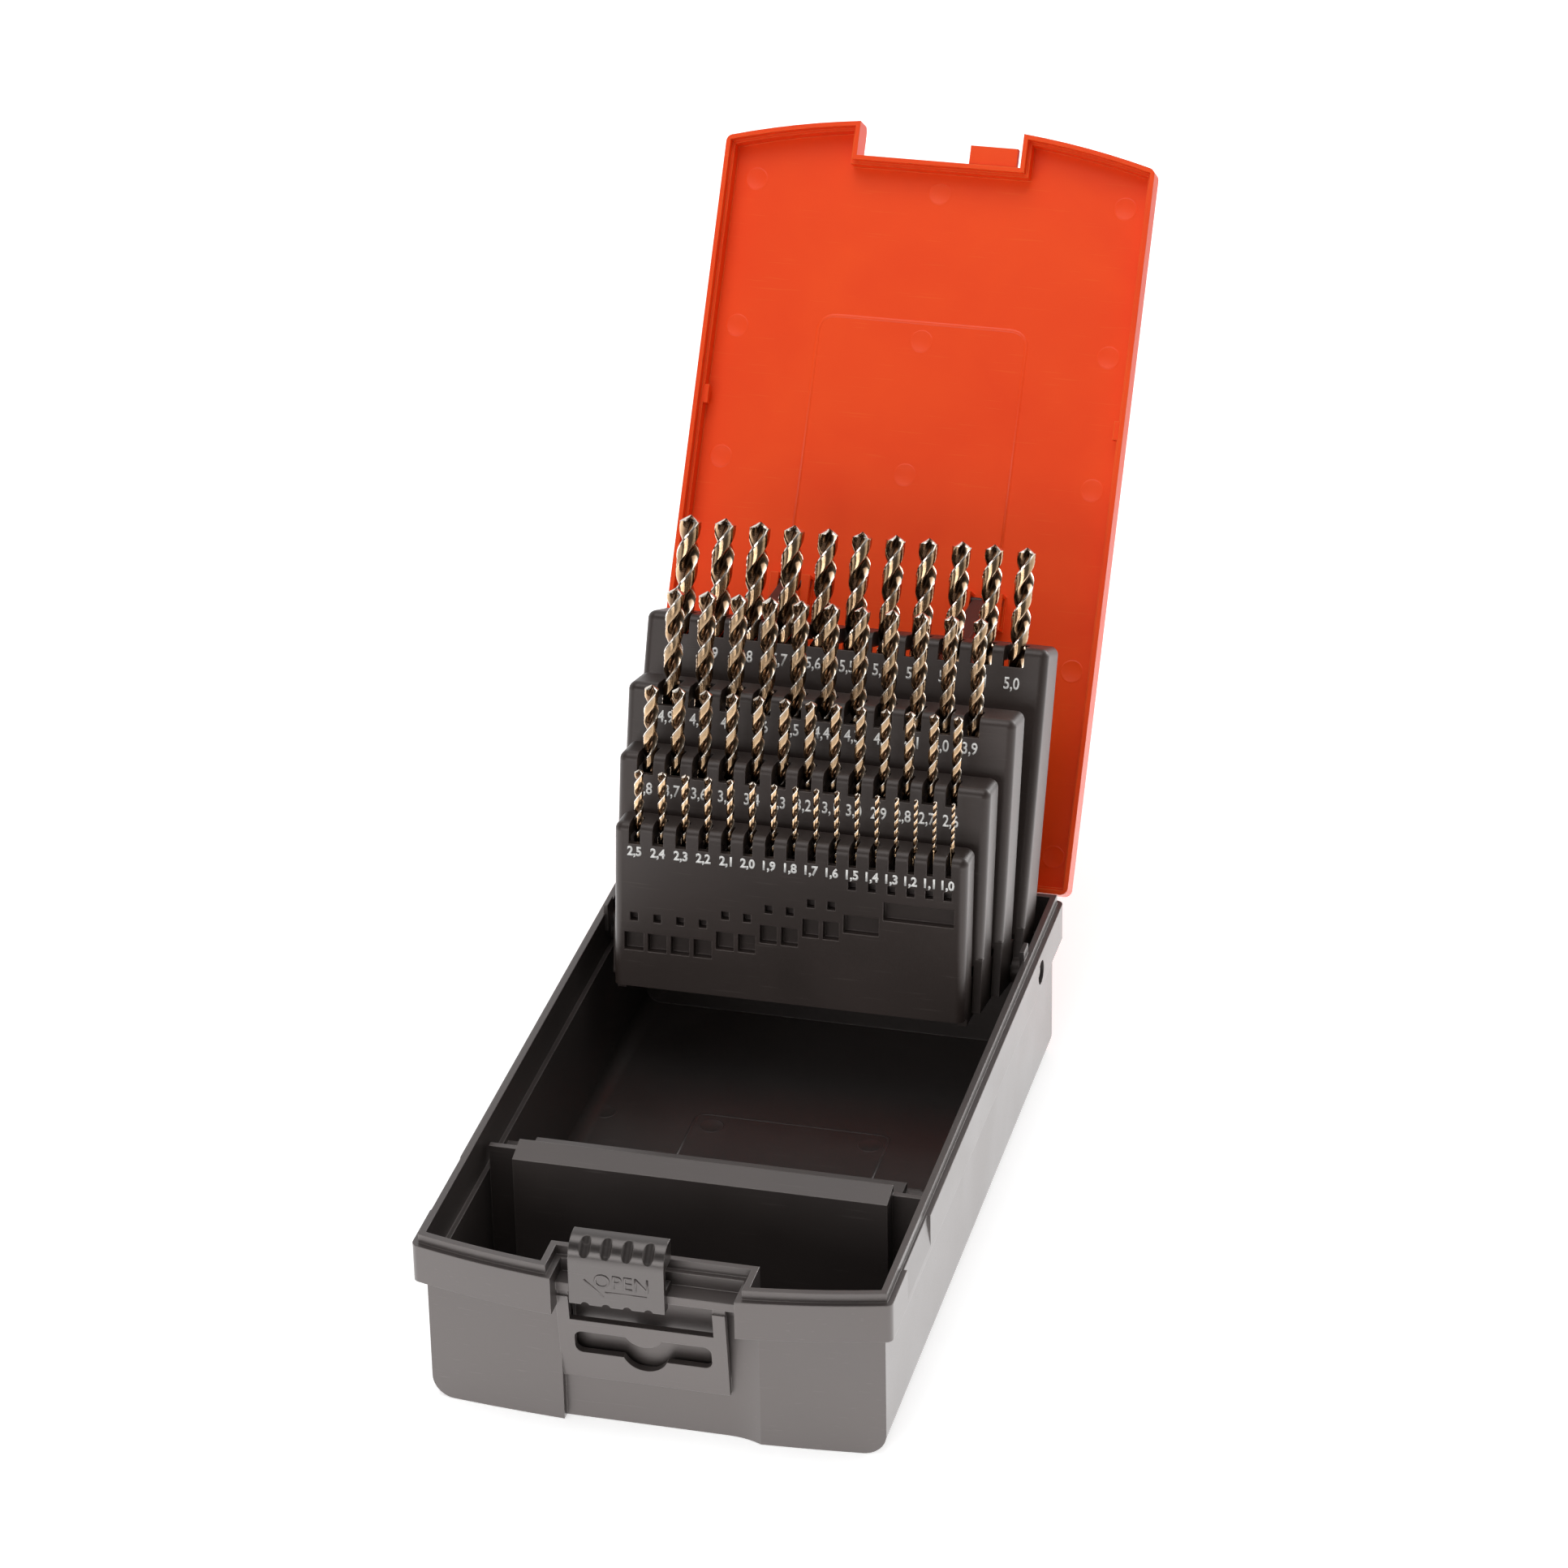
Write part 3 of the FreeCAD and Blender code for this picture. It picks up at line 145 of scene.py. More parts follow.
def laid_on(origin, across, up):
    """A matrix that puts a flat drawing (mm) on a face: its x across, its y up, z out of the face."""
    across = Vector(across).normalized()
    up = Vector(up).normalized()
    out = across.cross(up)
    turn = Matrix((across, up, out)).transposed().to_4x4()
    return Matrix.Translation(Vector(origin) * mm) @ turn @ Matrix.Scale(mm, 4)


# the edge of a disc mark: how far in from its rim in mm, and the share of its height there
disc_edge = [(0.0, 0.0), (0.16, 1.0), (0.34, 1.0), (0.50, 0.3)]
disc_sides = 40


def disc_mark(drawing, centre, radius, height):
    """The faint round print that an ejector pin leaves: a hair's step with a low ring at its edge."""
    circles = []
    for inward, share in disc_edge:
        around = [2 * math.pi * k / disc_sides for k in range(disc_sides)]
        circles.append([drawing.verts.new((centre[0] + (radius - inward) * math.cos(turn),
                                           centre[1] + (radius - inward) * math.sin(turn), height * share))
                        for turn in around])
    for outer, inner in zip(circles, circles[1:]):
        for k in range(disc_sides):
            after = (k + 1) % disc_sides
            drawing.faces.new((outer[k], outer[after], inner[after], inner[k]))
    drawing.faces.new(circles[-1])


# across a ridge as a share of its width, and the share of its height there
ridge_section = [(-0.5, 0.0), (-0.28, 0.8), (0.0, 1.0), (0.28, 0.8), (0.5, 0.0)]


def ridge(drawing, points, width, height):
    """A low rounded ridge along a line of points, as a shallow cut in the tool leaves."""
    rows = []
    for k, point in enumerate(points):
        here = Vector(point)
        ahead = Vector(points[min(k + 1, len(points) - 1)]) - Vector(points[max(k - 1, 0)])
        side = Vector((-ahead.y, ahead.x)).normalized() * width
        rows.append([drawing.verts.new((here.x + side.x * across, here.y + side.y * across, height * share))
                     for across, share in ridge_section])
    for one, two in zip(rows, rows[1:]):
        for k in range(len(ridge_section) - 1):
            drawing.faces.new((one[k], two[k], two[k + 1], one[k + 1]))
    drawing.faces.new(rows[0])
    drawing.faces.new(list(reversed(rows[-1])))


bend_steps = 6


def rounded_run(corners, radius):
    """The corners joined by straight lines with round corners between them."""
    points = [corners[0]]
    for before, here, after in zip(corners, corners[1:], corners[2:]):
        start = Vector(here) + (Vector(before) - Vector(here)).normalized() * radius
        end = Vector(here) + (Vector(after) - Vector(here)).normalized() * radius
        for k in range(bend_steps + 1):
            t = k / bend_steps
            points.append(tuple((1 - t) ** 2 * start + 2 * t * (1 - t) * Vector(here) + t ** 2 * end))
    points.append(corners[-1])
    return points


def put_in_scene(name, data):
    """A new object of a mesh, lamp, camera or lettering."""
    made = bpy.data.objects.new(name, data)
    bpy.context.scene.collection.objects.link(made)
    return made


def piece_from(name, drawing, place, material, body):
    """Makes a named piece of a drawing laid on a face, finished and fixed to its body."""
    drawing.transform(place)
    bmesh.ops.recalc_face_normals(drawing, faces=drawing.faces)
    mesh = bpy.data.meshes.new(name)
    drawing.to_mesh(mesh)
    drawing.free()
    mesh.shade_smooth()
    piece = put_in_scene(name, mesh)
    finish(piece, material)
    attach(piece, body)


# the prints of three ejector pins and of a plate let into the tool, on the floor
floor_thickness = 2.0
floor_discs = [(-50.6, 36.4), (-21.4, 35.7), (21.1, 35.6)]
floor_plate = [(-26.5, 4.0), (-26.5, 41.0), (25.4, 41.0), (25.4, 4.0)]
floor_print = bmesh.new()
for disc_centre in floor_discs:
    disc_mark(floor_print, disc_centre, radius=3.3, height=0.07)
ridge(floor_print, rounded_run(floor_plate, radius=3.0), width=0.9, height=0.14)
black_mark = moulded_polypropylene("black_polypropylene_marks", colour="#3E3836", worn_and_highlight="#8D8682",
                                   shaded="#363130", roughness=0.38, grain_depth=0.01, specular=1.0,
                                   edge_radius=0.04)
piece_from("base_floor_marks", floor_print, laid_on((0, 0, floor_thickness), (1, 0, 0), (0, 1, 0)),
           black_mark, "base")


# Axle and lid hinge pins. Plain steel pins pressed into the case, cut from
# cold drawn bright bar, so they shine with fine lines along their length.
def drawn_steel(name, colour, dull, roughness):
    """Cold drawn steel: a clear metal shine drawn out by fine die lines along the bar."""
    material, tree = bare_material(name)
    place = add(tree, "ShaderNodeTexCoord").outputs["Object"]
    # die lines are some 0.05 mm apart; drawn at 0.3 mm and 20 mm long
    line_length, line_pitch = 20 * mm, 0.3 * mm
    drawn_out = add(tree, "ShaderNodeMapping",
                    {"Vector": place, "Scale": (1 / line_length, 1 / line_pitch, 1 / line_pitch)})
    lines = add(tree, "ShaderNodeTexNoise", {"Vector": drawn_out.outputs[0], "Scale": 1.0, "Detail": 2.0})
    tint = add(tree, "ShaderNodeMix", {"Factor": lines.outputs[0], mix_a: linear(colour),
                                       mix_b: linear(dull)}, data_type="RGBA")
    rough = add(tree, "ShaderNodeMapRange", {"Value": lines.outputs[0], "To Min": roughness - 0.08,
                                             "To Max": roughness + 0.12})
    relief = add(tree, "ShaderNodeBump", {"Strength": 0.3, "Distance": 0.01 * mm, "Height": lines.outputs[0]})
    shader = add(tree, "ShaderNodeBsdfPrincipled",
                 {"Base Color": tint.outputs[mix_out], "Metallic": 1.0, "Roughness": rough.outputs[0],
                  "Normal": relief.outputs[0]})
    add(tree, "ShaderNodeOutputMaterial", {"Surface": shader.outputs[0]})
    return material


bright_bar = drawn_steel("drawn_steel_pin", colour="#BFBDBA", dull="#8D8B88", roughness=0.30)
finish(nodes["bank_axle"], bright_bar)
finish(nodes["lid_hinge_pins"], bright_bar)


# Four folding banks. Each is a hollow black polypropylene moulding that stands
# one row of drills in open fronted slots and turns on the common axle; the
# drill sizes are pad printed on its front in white.
black_bank = moulded_polypropylene("black_polypropylene_bank", colour="#362D2A", worn_and_highlight="#7C726D",
                                   shaded="#2C2522", roughness=0.40, grain_depth=0.03, specular=0.5)
# the axle's y and z
axle_at = (69.2, 39.5)

# A bank's lean is in degrees and the rest in mm on its own axes: its front from
# the axle, its drill line behind the front, its drill tips and its numbers' line
# above the axle, its leftmost drill, and the web of plastic between two drills.
# A drill is its diameter, overall length and flute length, from left to right.
Bank = namedtuple("Bank", "lean front drill_line tip_height first_drill web "
                          "number_height digit_height narrowing boldness drills")
banks = {
    "first": Bank(
        lean=7.0, front=-35.46, drill_line=4.2, tip_height=57.44, first_drill=-40.7, web=3.72,
        number_height=36.7, digit_height=2.5, narrowing=0.92, boldness=0.036,
        drills=[(2.5, 57, 30), (2.4, 57, 30), (2.3, 53, 27), (2.2, 53, 27), (2.1, 49, 24), (2.0, 49, 24),
                (1.9, 46, 22), (1.8, 46, 22), (1.7, 43, 20), (1.6, 43, 20), (1.5, 40, 18), (1.4, 40, 18),
                (1.3, 38, 16), (1.2, 38, 16), (1.1, 36, 14), (1.0, 34, 12)]),
    "second": Bank(
        lean=11.0, front=-26.45, drill_line=4.6, tip_height=73.79, first_drill=-41.5, web=3.5,
        number_height=47.4, digit_height=3.1, narrowing=0.8, boldness=0.016,
        drills=[(3.8, 75, 43), (3.7, 70, 39), (3.6, 70, 39), (3.5, 70, 39), (3.4, 70, 39), (3.3, 65, 36),
                (3.2, 65, 36), (3.1, 65, 36), (3.0, 61, 33), (2.9, 61, 33), (2.8, 61, 33), (2.7, 61, 33),
                (2.6, 57, 30)]),
    "third": Bank(
        lean=15.0, front=-15.06, drill_line=5.0, tip_height=94.17, first_drill=-40.6, web=3.64,
        number_height=61.2, digit_height=3.1, narrowing=0.8, boldness=0.016,
        drills=[(4.9, 86, 52), (4.8, 86, 52), (4.7, 80, 47), (4.6, 80, 47), (4.5, 80, 47), (4.4, 80, 47),
                (4.3, 80, 47), (4.2, 75, 43), (4.1, 75, 43), (4.0, 75, 43), (3.9, 75, 43)]),
    "fourth": Bank(
        lean=23.5, front=-1.5, drill_line=5.2, tip_height=109.22, first_drill=-45.2, web=3.5,
        number_height=74.1, digit_height=3.1, narrowing=0.8, boldness=0.016,
        drills=[(6.0, 93, 57), (5.9, 93, 57), (5.8, 93, 57), (5.7, 93, 57), (5.6, 93, 57), (5.5, 93, 57),
                (5.4, 93, 57), (5.3, 86, 52), (5.2, 86, 52), (5.1, 86, 52), (5.0, 86, 52)]),
}


def printed_white(name):
    """Pad printed ink on plastic: a thin matt white film, a little uneven and pinholed."""
    material, tree = bare_material(name)
    place = add(tree, "ShaderNodeTexCoord").outputs["Object"]
    # the film breaks up at about 0.3 mm, the grain that it is pressed on
    film_grain = 0.3 * mm
    film = add(tree, "ShaderNodeTexNoise", {"Vector": place, "Scale": 1 / film_grain, "Detail": 2.0})
    thin = add(tree, "ShaderNodeMapRange", {"Value": film.outputs[0], "From Min": 0.25, "From Max": 0.45})
    ink = add(tree, "ShaderNodeMix", {"Factor": thin.outputs[0], mix_a: linear("#B9B7B4"),
                                      mix_b: linear("#F4F3F0")}, data_type="RGBA")
    rough = add(tree, "ShaderNodeMapRange", {"Value": film.outputs[0], "To Min": 0.5, "To Max": 0.7})
    shader = add(tree, "ShaderNodeBsdfPrincipled",
                 {"Base Color": ink.outputs[mix_out], "Roughness": rough.outputs[0], "IOR": 1.5})
    add(tree, "ShaderNodeOutputMaterial", {"Surface": shader.outputs[0]})
    return material


white_ink = printed_white("pad_printed_white_ink")
# the film is about 0.01 mm thick; drawn at 0.04 mm, so that it stays clear of the face
ink_thickness = 0.04


def lettering(drawing, words, centre, height, thickness, narrowing=1.0, boldness=0.0):
    """Adds flat lettering of one height, centred on a point of the drawing."""
    letters = bpy.data.curves.new("letters", "FONT")
    letters.body = words
    letters.align_x = "CENTER"
    letters.offset = boldness
    letters.resolution_u = 3
    flat = put_in_scene("letters", letters)
    bpy.context.view_layer.update()
    mesh = bpy.data.meshes.new_from_object(flat)
    bpy.data.objects.remove(flat)
    bpy.data.curves.remove(letters)
    # a comma hangs below the line, so the digits' own height is read from the line up
    scale = height / max(v.co.y for v in mesh.vertices)
    middle = (max(v.co.x for v in mesh.vertices) + min(v.co.x for v in mesh.vertices)) / 2
    mesh.transform(Matrix.Translation((centre[0], centre[1] - height / 2, thickness))
                   @ Matrix.Scale(scale, 4) @ Matrix.Scale(narrowing, 4, (1, 0, 0))
                   @ Matrix.Translation((-middle, 0, 0)))
    start = len(drawing.faces)
    drawing.from_mesh(mesh)
    drawing.faces.ensure_lookup_table()
    bpy.data.meshes.remove(mesh)
    rim = bmesh.ops.extrude_face_region(drawing, geom=list(drawing.faces)[start:])
    sunk = [v for v in rim["geom"] if isinstance(v, bmesh.types.BMVert)]
    bmesh.ops.translate(drawing, verts=sunk, vec=(0, 0, -thickness))


def bank_foot(bank, behind):
    """A point of the bank level with the axle on its own axes, and so far behind it."""
    tilt = math.radians(bank.lean)
    return Vector((0, *axle_at)) + Vector((0, math.cos(tilt), -math.sin(tilt))) * behind


def on_bank_front(bank):
    """The front of a bank: x across, y up the bank from the axle, z out of the face."""
    tilt = math.radians(bank.lean)
    return laid_on(bank_foot(bank, bank.front), (1, 0, 0), (0, math.sin(tilt), math.cos(tilt)))


drill_at = {}
for which, bank in banks.items():
    finish(nodes["bank_" + which], black_bank)
    sizes_print = bmesh.new()
    x, before = bank.first_drill, None
    for drill in bank.drills:
        diameter = drill[0]
        if before:
            x += (diameter + before) / 2 + bank.web
        before = diameter
        drill_at[diameter] = x
        lettering(sizes_print, ("%.1f" % diameter).replace(".", ","), (x, bank.number_height),
                  bank.digit_height, ink_thickness, bank.narrowing, bank.boldness)
    piece_from("numbers_" + which, sizes_print, on_bank_front(bank), white_ink, "bank_" + which)


# Fifty-one jobber drills, 1.0 to 6.0 mm. Ground from high speed steel with
# cobalt: two right hand flutes and a cone point, tempered to a bronze tint,
# with the ground lands bright and the flutes darker, partly a browner tint and
# partly painted shade.
def ground_cobalt_steel(name):
    """Ground and tempered cobalt high speed steel: a polished bronze metal, brown down in the
    flutes, a browner tint with painted shade in it, and cream at their rims, with bright
    margins and points that are ground last."""
    material, tree = bare_material(name)
    # mm along the grinding, across the bank and up the drill
    turned = add(tree, "ShaderNodeAttribute", attribute_name="grind").outputs["Vector"]
    depth = add(tree, "ShaderNodeAttribute", attribute_name="flute_depth").outputs["Fac"]
    bared = add(tree, "ShaderNodeAttribute", attribute_name="ground_last").outputs["Fac"]
    # grinding lines are 0.03 mm apart; drawn at 0.25 mm, the finest that shows
    line_length, line_pitch = 6.0, 0.25
    lines_at = add(tree, "ShaderNodeMapping", {"Vector": turned,
                                               "Scale": (1 / line_length, 1.0, 1 / line_pitch)})
    lines = add(tree, "ShaderNodeTexNoise", {"Vector": lines_at.outputs[0], "Scale": 1.0, "Detail": 2.0})
    # temper colour drifts over some 6 mm
    drift_size = 6.0
    drift = add(tree, "ShaderNodeTexNoise", {"Vector": turned, "Scale": 1 / drift_size, "Detail": 2.0})
    land = add(tree, "ShaderNodeMix", {"Factor": drift.outputs[0], mix_a: linear("#CDAE8A"),
                                       mix_b: linear("#A08263")}, data_type="RGBA")
    # down in the flutes the steel is browner, and darker still with painted shade
    flute_tint_and_shade = add(tree, "ShaderNodeMix", {"Factor": drift.outputs[0], mix_a: linear("#6A5341"),
                                               mix_b: linear("#46362A")}, data_type="RGBA")
    metal = add(tree, "ShaderNodeMix", {"Factor": depth, mix_a: land.outputs[mix_out],
                                        mix_b: flute_tint_and_shade.outputs[mix_out]}, data_type="RGBA")
    streak = add(tree, "ShaderNodeMapRange", {"Value": lines.outputs[0], "From Min": 0.35, "From Max": 0.7,
                                              "To Max": 0.16})
    tinted = add(tree, "ShaderNodeMix", {"Factor": streak.outputs[0], mix_a: metal.outputs[mix_out],
                                         mix_b: linear("#4E3A2A")}, data_type="RGBA")
    shown = add(tree, "ShaderNodeMix", {"Factor": bared, mix_a: tinted.outputs[mix_out],
                                        mix_b: linear("#F1EAE0")}, data_type="RGBA")
    rough = add(tree, "ShaderNodeMapRange", {"Value": lines.outputs[0], "From Min": 0.3, "From Max": 0.7,
                                             "To Min": 0.13, "To Max": 0.20})
    relief = add(tree, "ShaderNodeBump", {"Strength": 0.05, "Distance": 0.01 * mm,
                                          "Height": lines.outputs[0]})
    shader = add(tree, "ShaderNodeBsdfPrincipled",
                 {"Base Color": shown.outputs[mix_out], "Metallic": 1.0, "Roughness": rough.outputs[0],
                  "Normal": relief.outputs[0]})
    add(tree, "ShaderNodeOutputMaterial", {"Surface": shader.outputs[0]})
    return material


cobalt_steel = ground_cobalt_steel("ground_cobalt_high_speed_steel")

# half of the drill's round: degrees round it, the share of the radius there, and
# how much of it is ground last
half_section = [(0, 1.0, 1.0), (9, 1.0, 1.0), (12, 0.955, 0.2), (30, 0.955, 0), (50, 0.955, 0),
                (70, 0.955, 0), (80, 0.93, 0.1), (87, 0.84, 0), (95, 0.68, 0), (105, 0.50, 0),
                (116, 0.37, 0), (130, 0.30, 0), (144, 0.32, 0), (157, 0.44, 0), (168, 0.66, 0),
                (176, 0.92, 0.3)]
round_section = [(angle + half, share, bared) for half in (0, 180) for angle, share, bared in half_section]
helix_angle = math.radians(39)
tip_turn = math.radians(-3)
# of the radius: the chamfer at the foot of the shank, the height of the point, and the rings up the point
shank_chamfer = 0.14
point_height = 0.6
point_rings = [1.0, 0.99, 0.72, 0.44, 0.20, 0.04]
# the flutes run out over so many diameters
run_out_length = 1.6
# rings to each turn of the flutes, more of them on drills thicker than 2.6 mm
coarse_rings, fine_rings, fine_rings_from = 18, 24, 2.6
# a flute's tint and painted shade are darkest where so much of the radius is ground away, and the lands keep
# this much of it
darkest_cut = 0.4
land_share = 0.93
# how bright the freshly ground point is, and how much of the radius is left where it is ground
point_brightness = 0.85
point_core = 0.6


def twist_drill(drawing, layers, diameter, length, flute, x, foot, turned_by):
    """Adds one drill, standing on its foot on its bank's own axes in mm."""
    grind, depth, ground_last = layers
    radius = diameter / 2
    lead = math.pi * diameter / math.tan(helix_angle)
    point = radius * point_height
    step = lead / (fine_rings if diameter > fine_rings_from else coarse_rings)
    flute_foot = length - flute
    rings = [(0.0, 1 - shank_chamfer), (radius * shank_chamfer, 1.0)]
    reach = flute_foot
    while reach < length - point - step / 2:
        rings.append((reach, 1.0))
        reach += step
    rings += [(length - point * share, share) for share in point_rings]
    last = None
    for height, share in rings:
        run_out = min(1.0, max(0.0, (height - flute_foot) / (run_out_length * diameter)))
        run_out = run_out * run_out * (3 - 2 * run_out)
        turn = tip_turn + turned_by + 2 * math.pi * (height - length) / lead
        ring = []
        for angle, round_share, bared in round_section:
            cut = 1 - (1 - round_share) * run_out
            out = radius * min(cut, share)
            around = math.radians(angle) + turn
            vert = drawing.verts.new((x + out * math.cos(around), out * math.sin(around), foot + height))
            vert[grind] = (radius * math.radians(angle), x, height)
            vert[depth] = min(1.0, max(0.0, (land_share - cut) / darkest_cut))
            vert[ground_last] = point_brightness if share < 1 and cut > point_core else bared * run_out
            ring.append(vert)
        if last:
            for k in range(len(ring)):
                after = (k + 1) % len(ring)
                drawing.faces.new((last[k], last[after], ring[after], ring[k]))
        else:
            drawing.faces.new(list(reversed(ring)))
        last = ring
    drawing.faces.new(last)


# edges sharper than this stay sharp
crease = math.radians(38)
# the drills were dropped in with their points turned much alike, within this much (radians)
turned_apart = 0.3


def stand_drills(name, drills, which):
    """One piece for a drill, or for two that share a node, in its bank."""
    bank = banks[which]
    drawing = bmesh.new()
    # the marks that the steel reads: place along the grinding, flute depth, ground last
    layers = (drawing.verts.layers.float_vector.new("grind"), drawing.verts.layers.float.new("flute_depth"),
              drawing.verts.layers.float.new("ground_last"))
    for diameter, length, flute in drills:
        chance = random.Random(int(diameter * 10))
        twist_drill(drawing, layers, diameter, length, flute, drill_at[diameter], bank.tip_height - length,
                    chance.uniform(-turned_apart, turned_apart))
    foot = bank_foot(bank, bank.front + bank.drill_line)
    drawing.transform(Matrix.Translation(foot * mm) @ Matrix.Rotation(-math.radians(bank.lean), 4, "X")
                      @ Matrix.Scale(mm, 4))
    drawing.normal_update()
    for edge in drawing.edges:
        edge.smooth = len(edge.link_faces) == 2 and edge.calc_face_angle() < crease
    mesh = bpy.data.meshes.new(name)
    drawing.to_mesh(mesh)
    drawing.free()
    mesh.polygons.foreach_set("use_smooth", [True] * len(mesh.polygons))
    piece = put_in_scene(name, mesh)
    finish(piece, cobalt_steel)
    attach(piece, "bank_" + which)
    return piece


def size_name(diameter):
    """A drill's size as it is written in the name of its node."""
    return ("%.1f" % diameter).replace(".", "_")


# these drills share a node with the next one down
shared_nodes = {1.3: 1.2, 1.1: 1.0}
for which, bank in banks.items():
    for drill in bank.drills:
        diameter = drill[0]
        if diameter in shared_nodes.values():
            continue
        stood = [drill]
        label = "drill_" + size_name(diameter)
        if diameter in shared_nodes:
            partner = next(other for other in bank.drills if other[0] == shared_nodes[diameter])
            stood.append(partner)
            label = "drill_%s_and_%s" % (size_name(partner[0]), size_name(diameter))
        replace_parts(stand_drills("fluted_" + label, stood, which), label)


# Lid. A shallow tray in orange polypropylene on two hinges, moulded in one with
# its catch and the ears that carry the link arms. The inside shows the print of
# the ejector pins and a low raised panel.
orange_lid = moulded_polypropylene("orange_polypropylene_lid", colour="#F44A0A", worn_and_highlight="#FF9040",
                                   shaded="#EE420A", roughness=0.40, grain_depth=0.02, specular=0.3)
finish(nodes["lid_shell"], orange_lid)
# how far the lid stands open, its hinge's y and z, and its inside face in from the hinge
lid_angle = math.radians(124)
hinge_at = (99.3, 43.71)
inside_face = 8.49
# x across the lid, y up the lid from the hinge
lid_discs = [(-51, 187), (0, 187), (51, 187), (-51.3, 146.5), (0, 146.5), (51.3, 146.5), (0, 110),
             (-51.2, 110.5), (51.2, 110.5), (51.7, 61.7), (-51.7, 61.7), (52.8, 12), (-52.8, 12)]
lid_panel = [(-28.7, 34), (-28.7, 151.5), (28.7, 151.5), (28.7, 34)]
lid_print = bmesh.new()
for disc_centre in lid_discs:
    disc_mark(lid_print, disc_centre, radius=3.1, height=0.05)
ridge(lid_print, rounded_run(lid_panel, radius=5.0), width=1.0, height=0.14)
orange_mark = moulded_polypropylene("orange_polypropylene_marks", colour="#F64C0A", worn_and_highlight="#FF9040",
                                    shaded="#F1430A", roughness=0.36, grain_depth=0.01, specular=0.4,
                                    edge_radius=0.04)
up_lid = Vector((0, -math.cos(lid_angle), math.sin(lid_angle)))
out_of_lid = Vector((1, 0, 0)).cross(up_lid)
piece_from("lid_inside_marks", lid_print,
           laid_on(Vector((0, *hinge_at)) - out_of_lid * inside_face, (1, 0, 0), up_lid),
           orange_mark, "lid")


# Link arms. Two flat black polypropylene arms that clip into ears on the fourth
# bank and carry a cross bar in the slots of the lid's ears, so that the lid
# lifts the bank.
for side in ("left", "right"):
    finish(nodes["link_arm_" + side], black_bank)


# Latch slider. A black polypropylene clip on the base's rail that slides left
# off the lid's catch: grooved on top for the thumb, with OPEN and an arrow
# raised on its front.
black_slider = moulded_polypropylene("black_polypropylene_slider", colour="#2A2624", worn_and_highlight="#8A837F",
                                     shaded="#24201F", roughness=0.28, grain_depth=0.02, specular=1.0)
finish(nodes["latch_slider"], black_slider)
# the raised marks on the slider's front, x and z; the arrow is a shaft and one barb
slider_front_y = -102.3
raised = 0.14
word_centre = (-5.6, 44.7)
arrow_shaft = [(0.7, 41.6), (-9.6, 41.6)]
arrow_barb = [(-9.9, 40.2), (-14.7, 44.6)]
slider_print = bmesh.new()
lettering(slider_print, "OPEN", word_centre, 3.7, raised)
for stroke in (arrow_shaft, arrow_barb):
    ridge(slider_print, stroke, width=0.5, height=raised)
piece_from("slider_lettering", slider_print, laid_on((0, slider_front_y, 0), (1, 0, 0), (0, 0, 1)),
           black_mark, "latch")


# Table. One sheet of matt white board that the case stands on; it shows white to
# the camera and in the gloss, and keeps a soft shadow.
def ray_kinds(tree):
    """Which rays come from the camera, and which are seen in gloss or through glass."""
    path = add(tree, "ShaderNodeLightPath")
    mirrored = add(tree, "ShaderNodeMath", {0: path.outputs["Is Glossy Ray"],
                                            1: path.outputs["Is Transmission Ray"]}, operation="MAXIMUM")
    return path.outputs["Is Camera Ray"], mirrored.outputs[0]


def matt_white_board(name):
    """Matt coated card: an even white with the faintest tooth, glowing a little so that it
    shows white without more light on the case, and glowing more round the case in the gloss, a painted pool
    of light."""
    material, tree = bare_material(name)
    # the tooth of the card is about 1.1 mm, 900 to the metre
    paper = add(tree, "ShaderNodeTexNoise", {"Scale": 900.0, "Detail": 2.0})
    paper_colour = add(tree, "ShaderNodeMix", {"Factor": paper.outputs[0], mix_a: linear("#F4F4F4"),
                                               mix_b: linear("#F8F8F8")}, data_type="RGBA")
    matt = add(tree, "ShaderNodeBsdfDiffuse", {"Color": paper_colour.outputs[mix_out]})
    camera_ray, mirrored_ray = ray_kinds(tree)
    spot = add(tree, "ShaderNodeTexCoord")
    away = add(tree, "ShaderNodeVectorMath", {0: spot.outputs["Object"]}, operation="LENGTH")
    # far from the lamps it runs into the white backdrop
    white_out = add(tree, "ShaderNodeMapRange", {"Value": away.outputs["Value"], "From Min": 0.5,
                                                 "From Max": 1.3, "To Min": 0.55, "To Max": 1.0})
    to_camera = add(tree, "ShaderNodeMath", {0: camera_ray, 1: white_out.outputs[0]},
                    operation="MULTIPLY")
    # in the gloss it glows brightest round the case, a painted pool of light some 0.35 m across
    painted_gloss_pool = add(tree, "ShaderNodeMapRange", {"Value": away.outputs["Value"], "From Min": 0.25,
                                            "From Max": 0.55, "To Min": 1.75, "To Max": 0.35})
    in_gloss = add(tree, "ShaderNodeMath", {0: mirrored_ray, 1: painted_gloss_pool.outputs[0]}, operation="MULTIPLY")
    strength = add(tree, "ShaderNodeMath", {0: to_camera.outputs[0], 1: in_gloss.outputs[0]},
                   operation="ADD")
    glow = add(tree, "ShaderNodeEmission", {"Strength": strength.outputs[0]})
    both = add(tree, "ShaderNodeAddShader", {0: matt.outputs[0], 1: glow.outputs[0]})
    add(tree, "ShaderNodeOutputMaterial", {"Surface": both.outputs[0]})
    return material


# half of the board's side, and its top a hair under the case's feet, in metres
board_reach = 4
board_drop = 0.0002
board = bmesh.new()
board.faces.new([board.verts.new((x * board_reach, y * board_reach, 0))
                 for x, y in ((-1, -1), (1, -1), (1, 1), (-1, 1))])
board_mesh = bpy.data.meshes.new("table")
board.to_mesh(board_mesh)
board.free()
table = put_in_scene("table", board_mesh)
table.location.z = -board_drop
finish(table, matt_white_board("matt_white_board"))
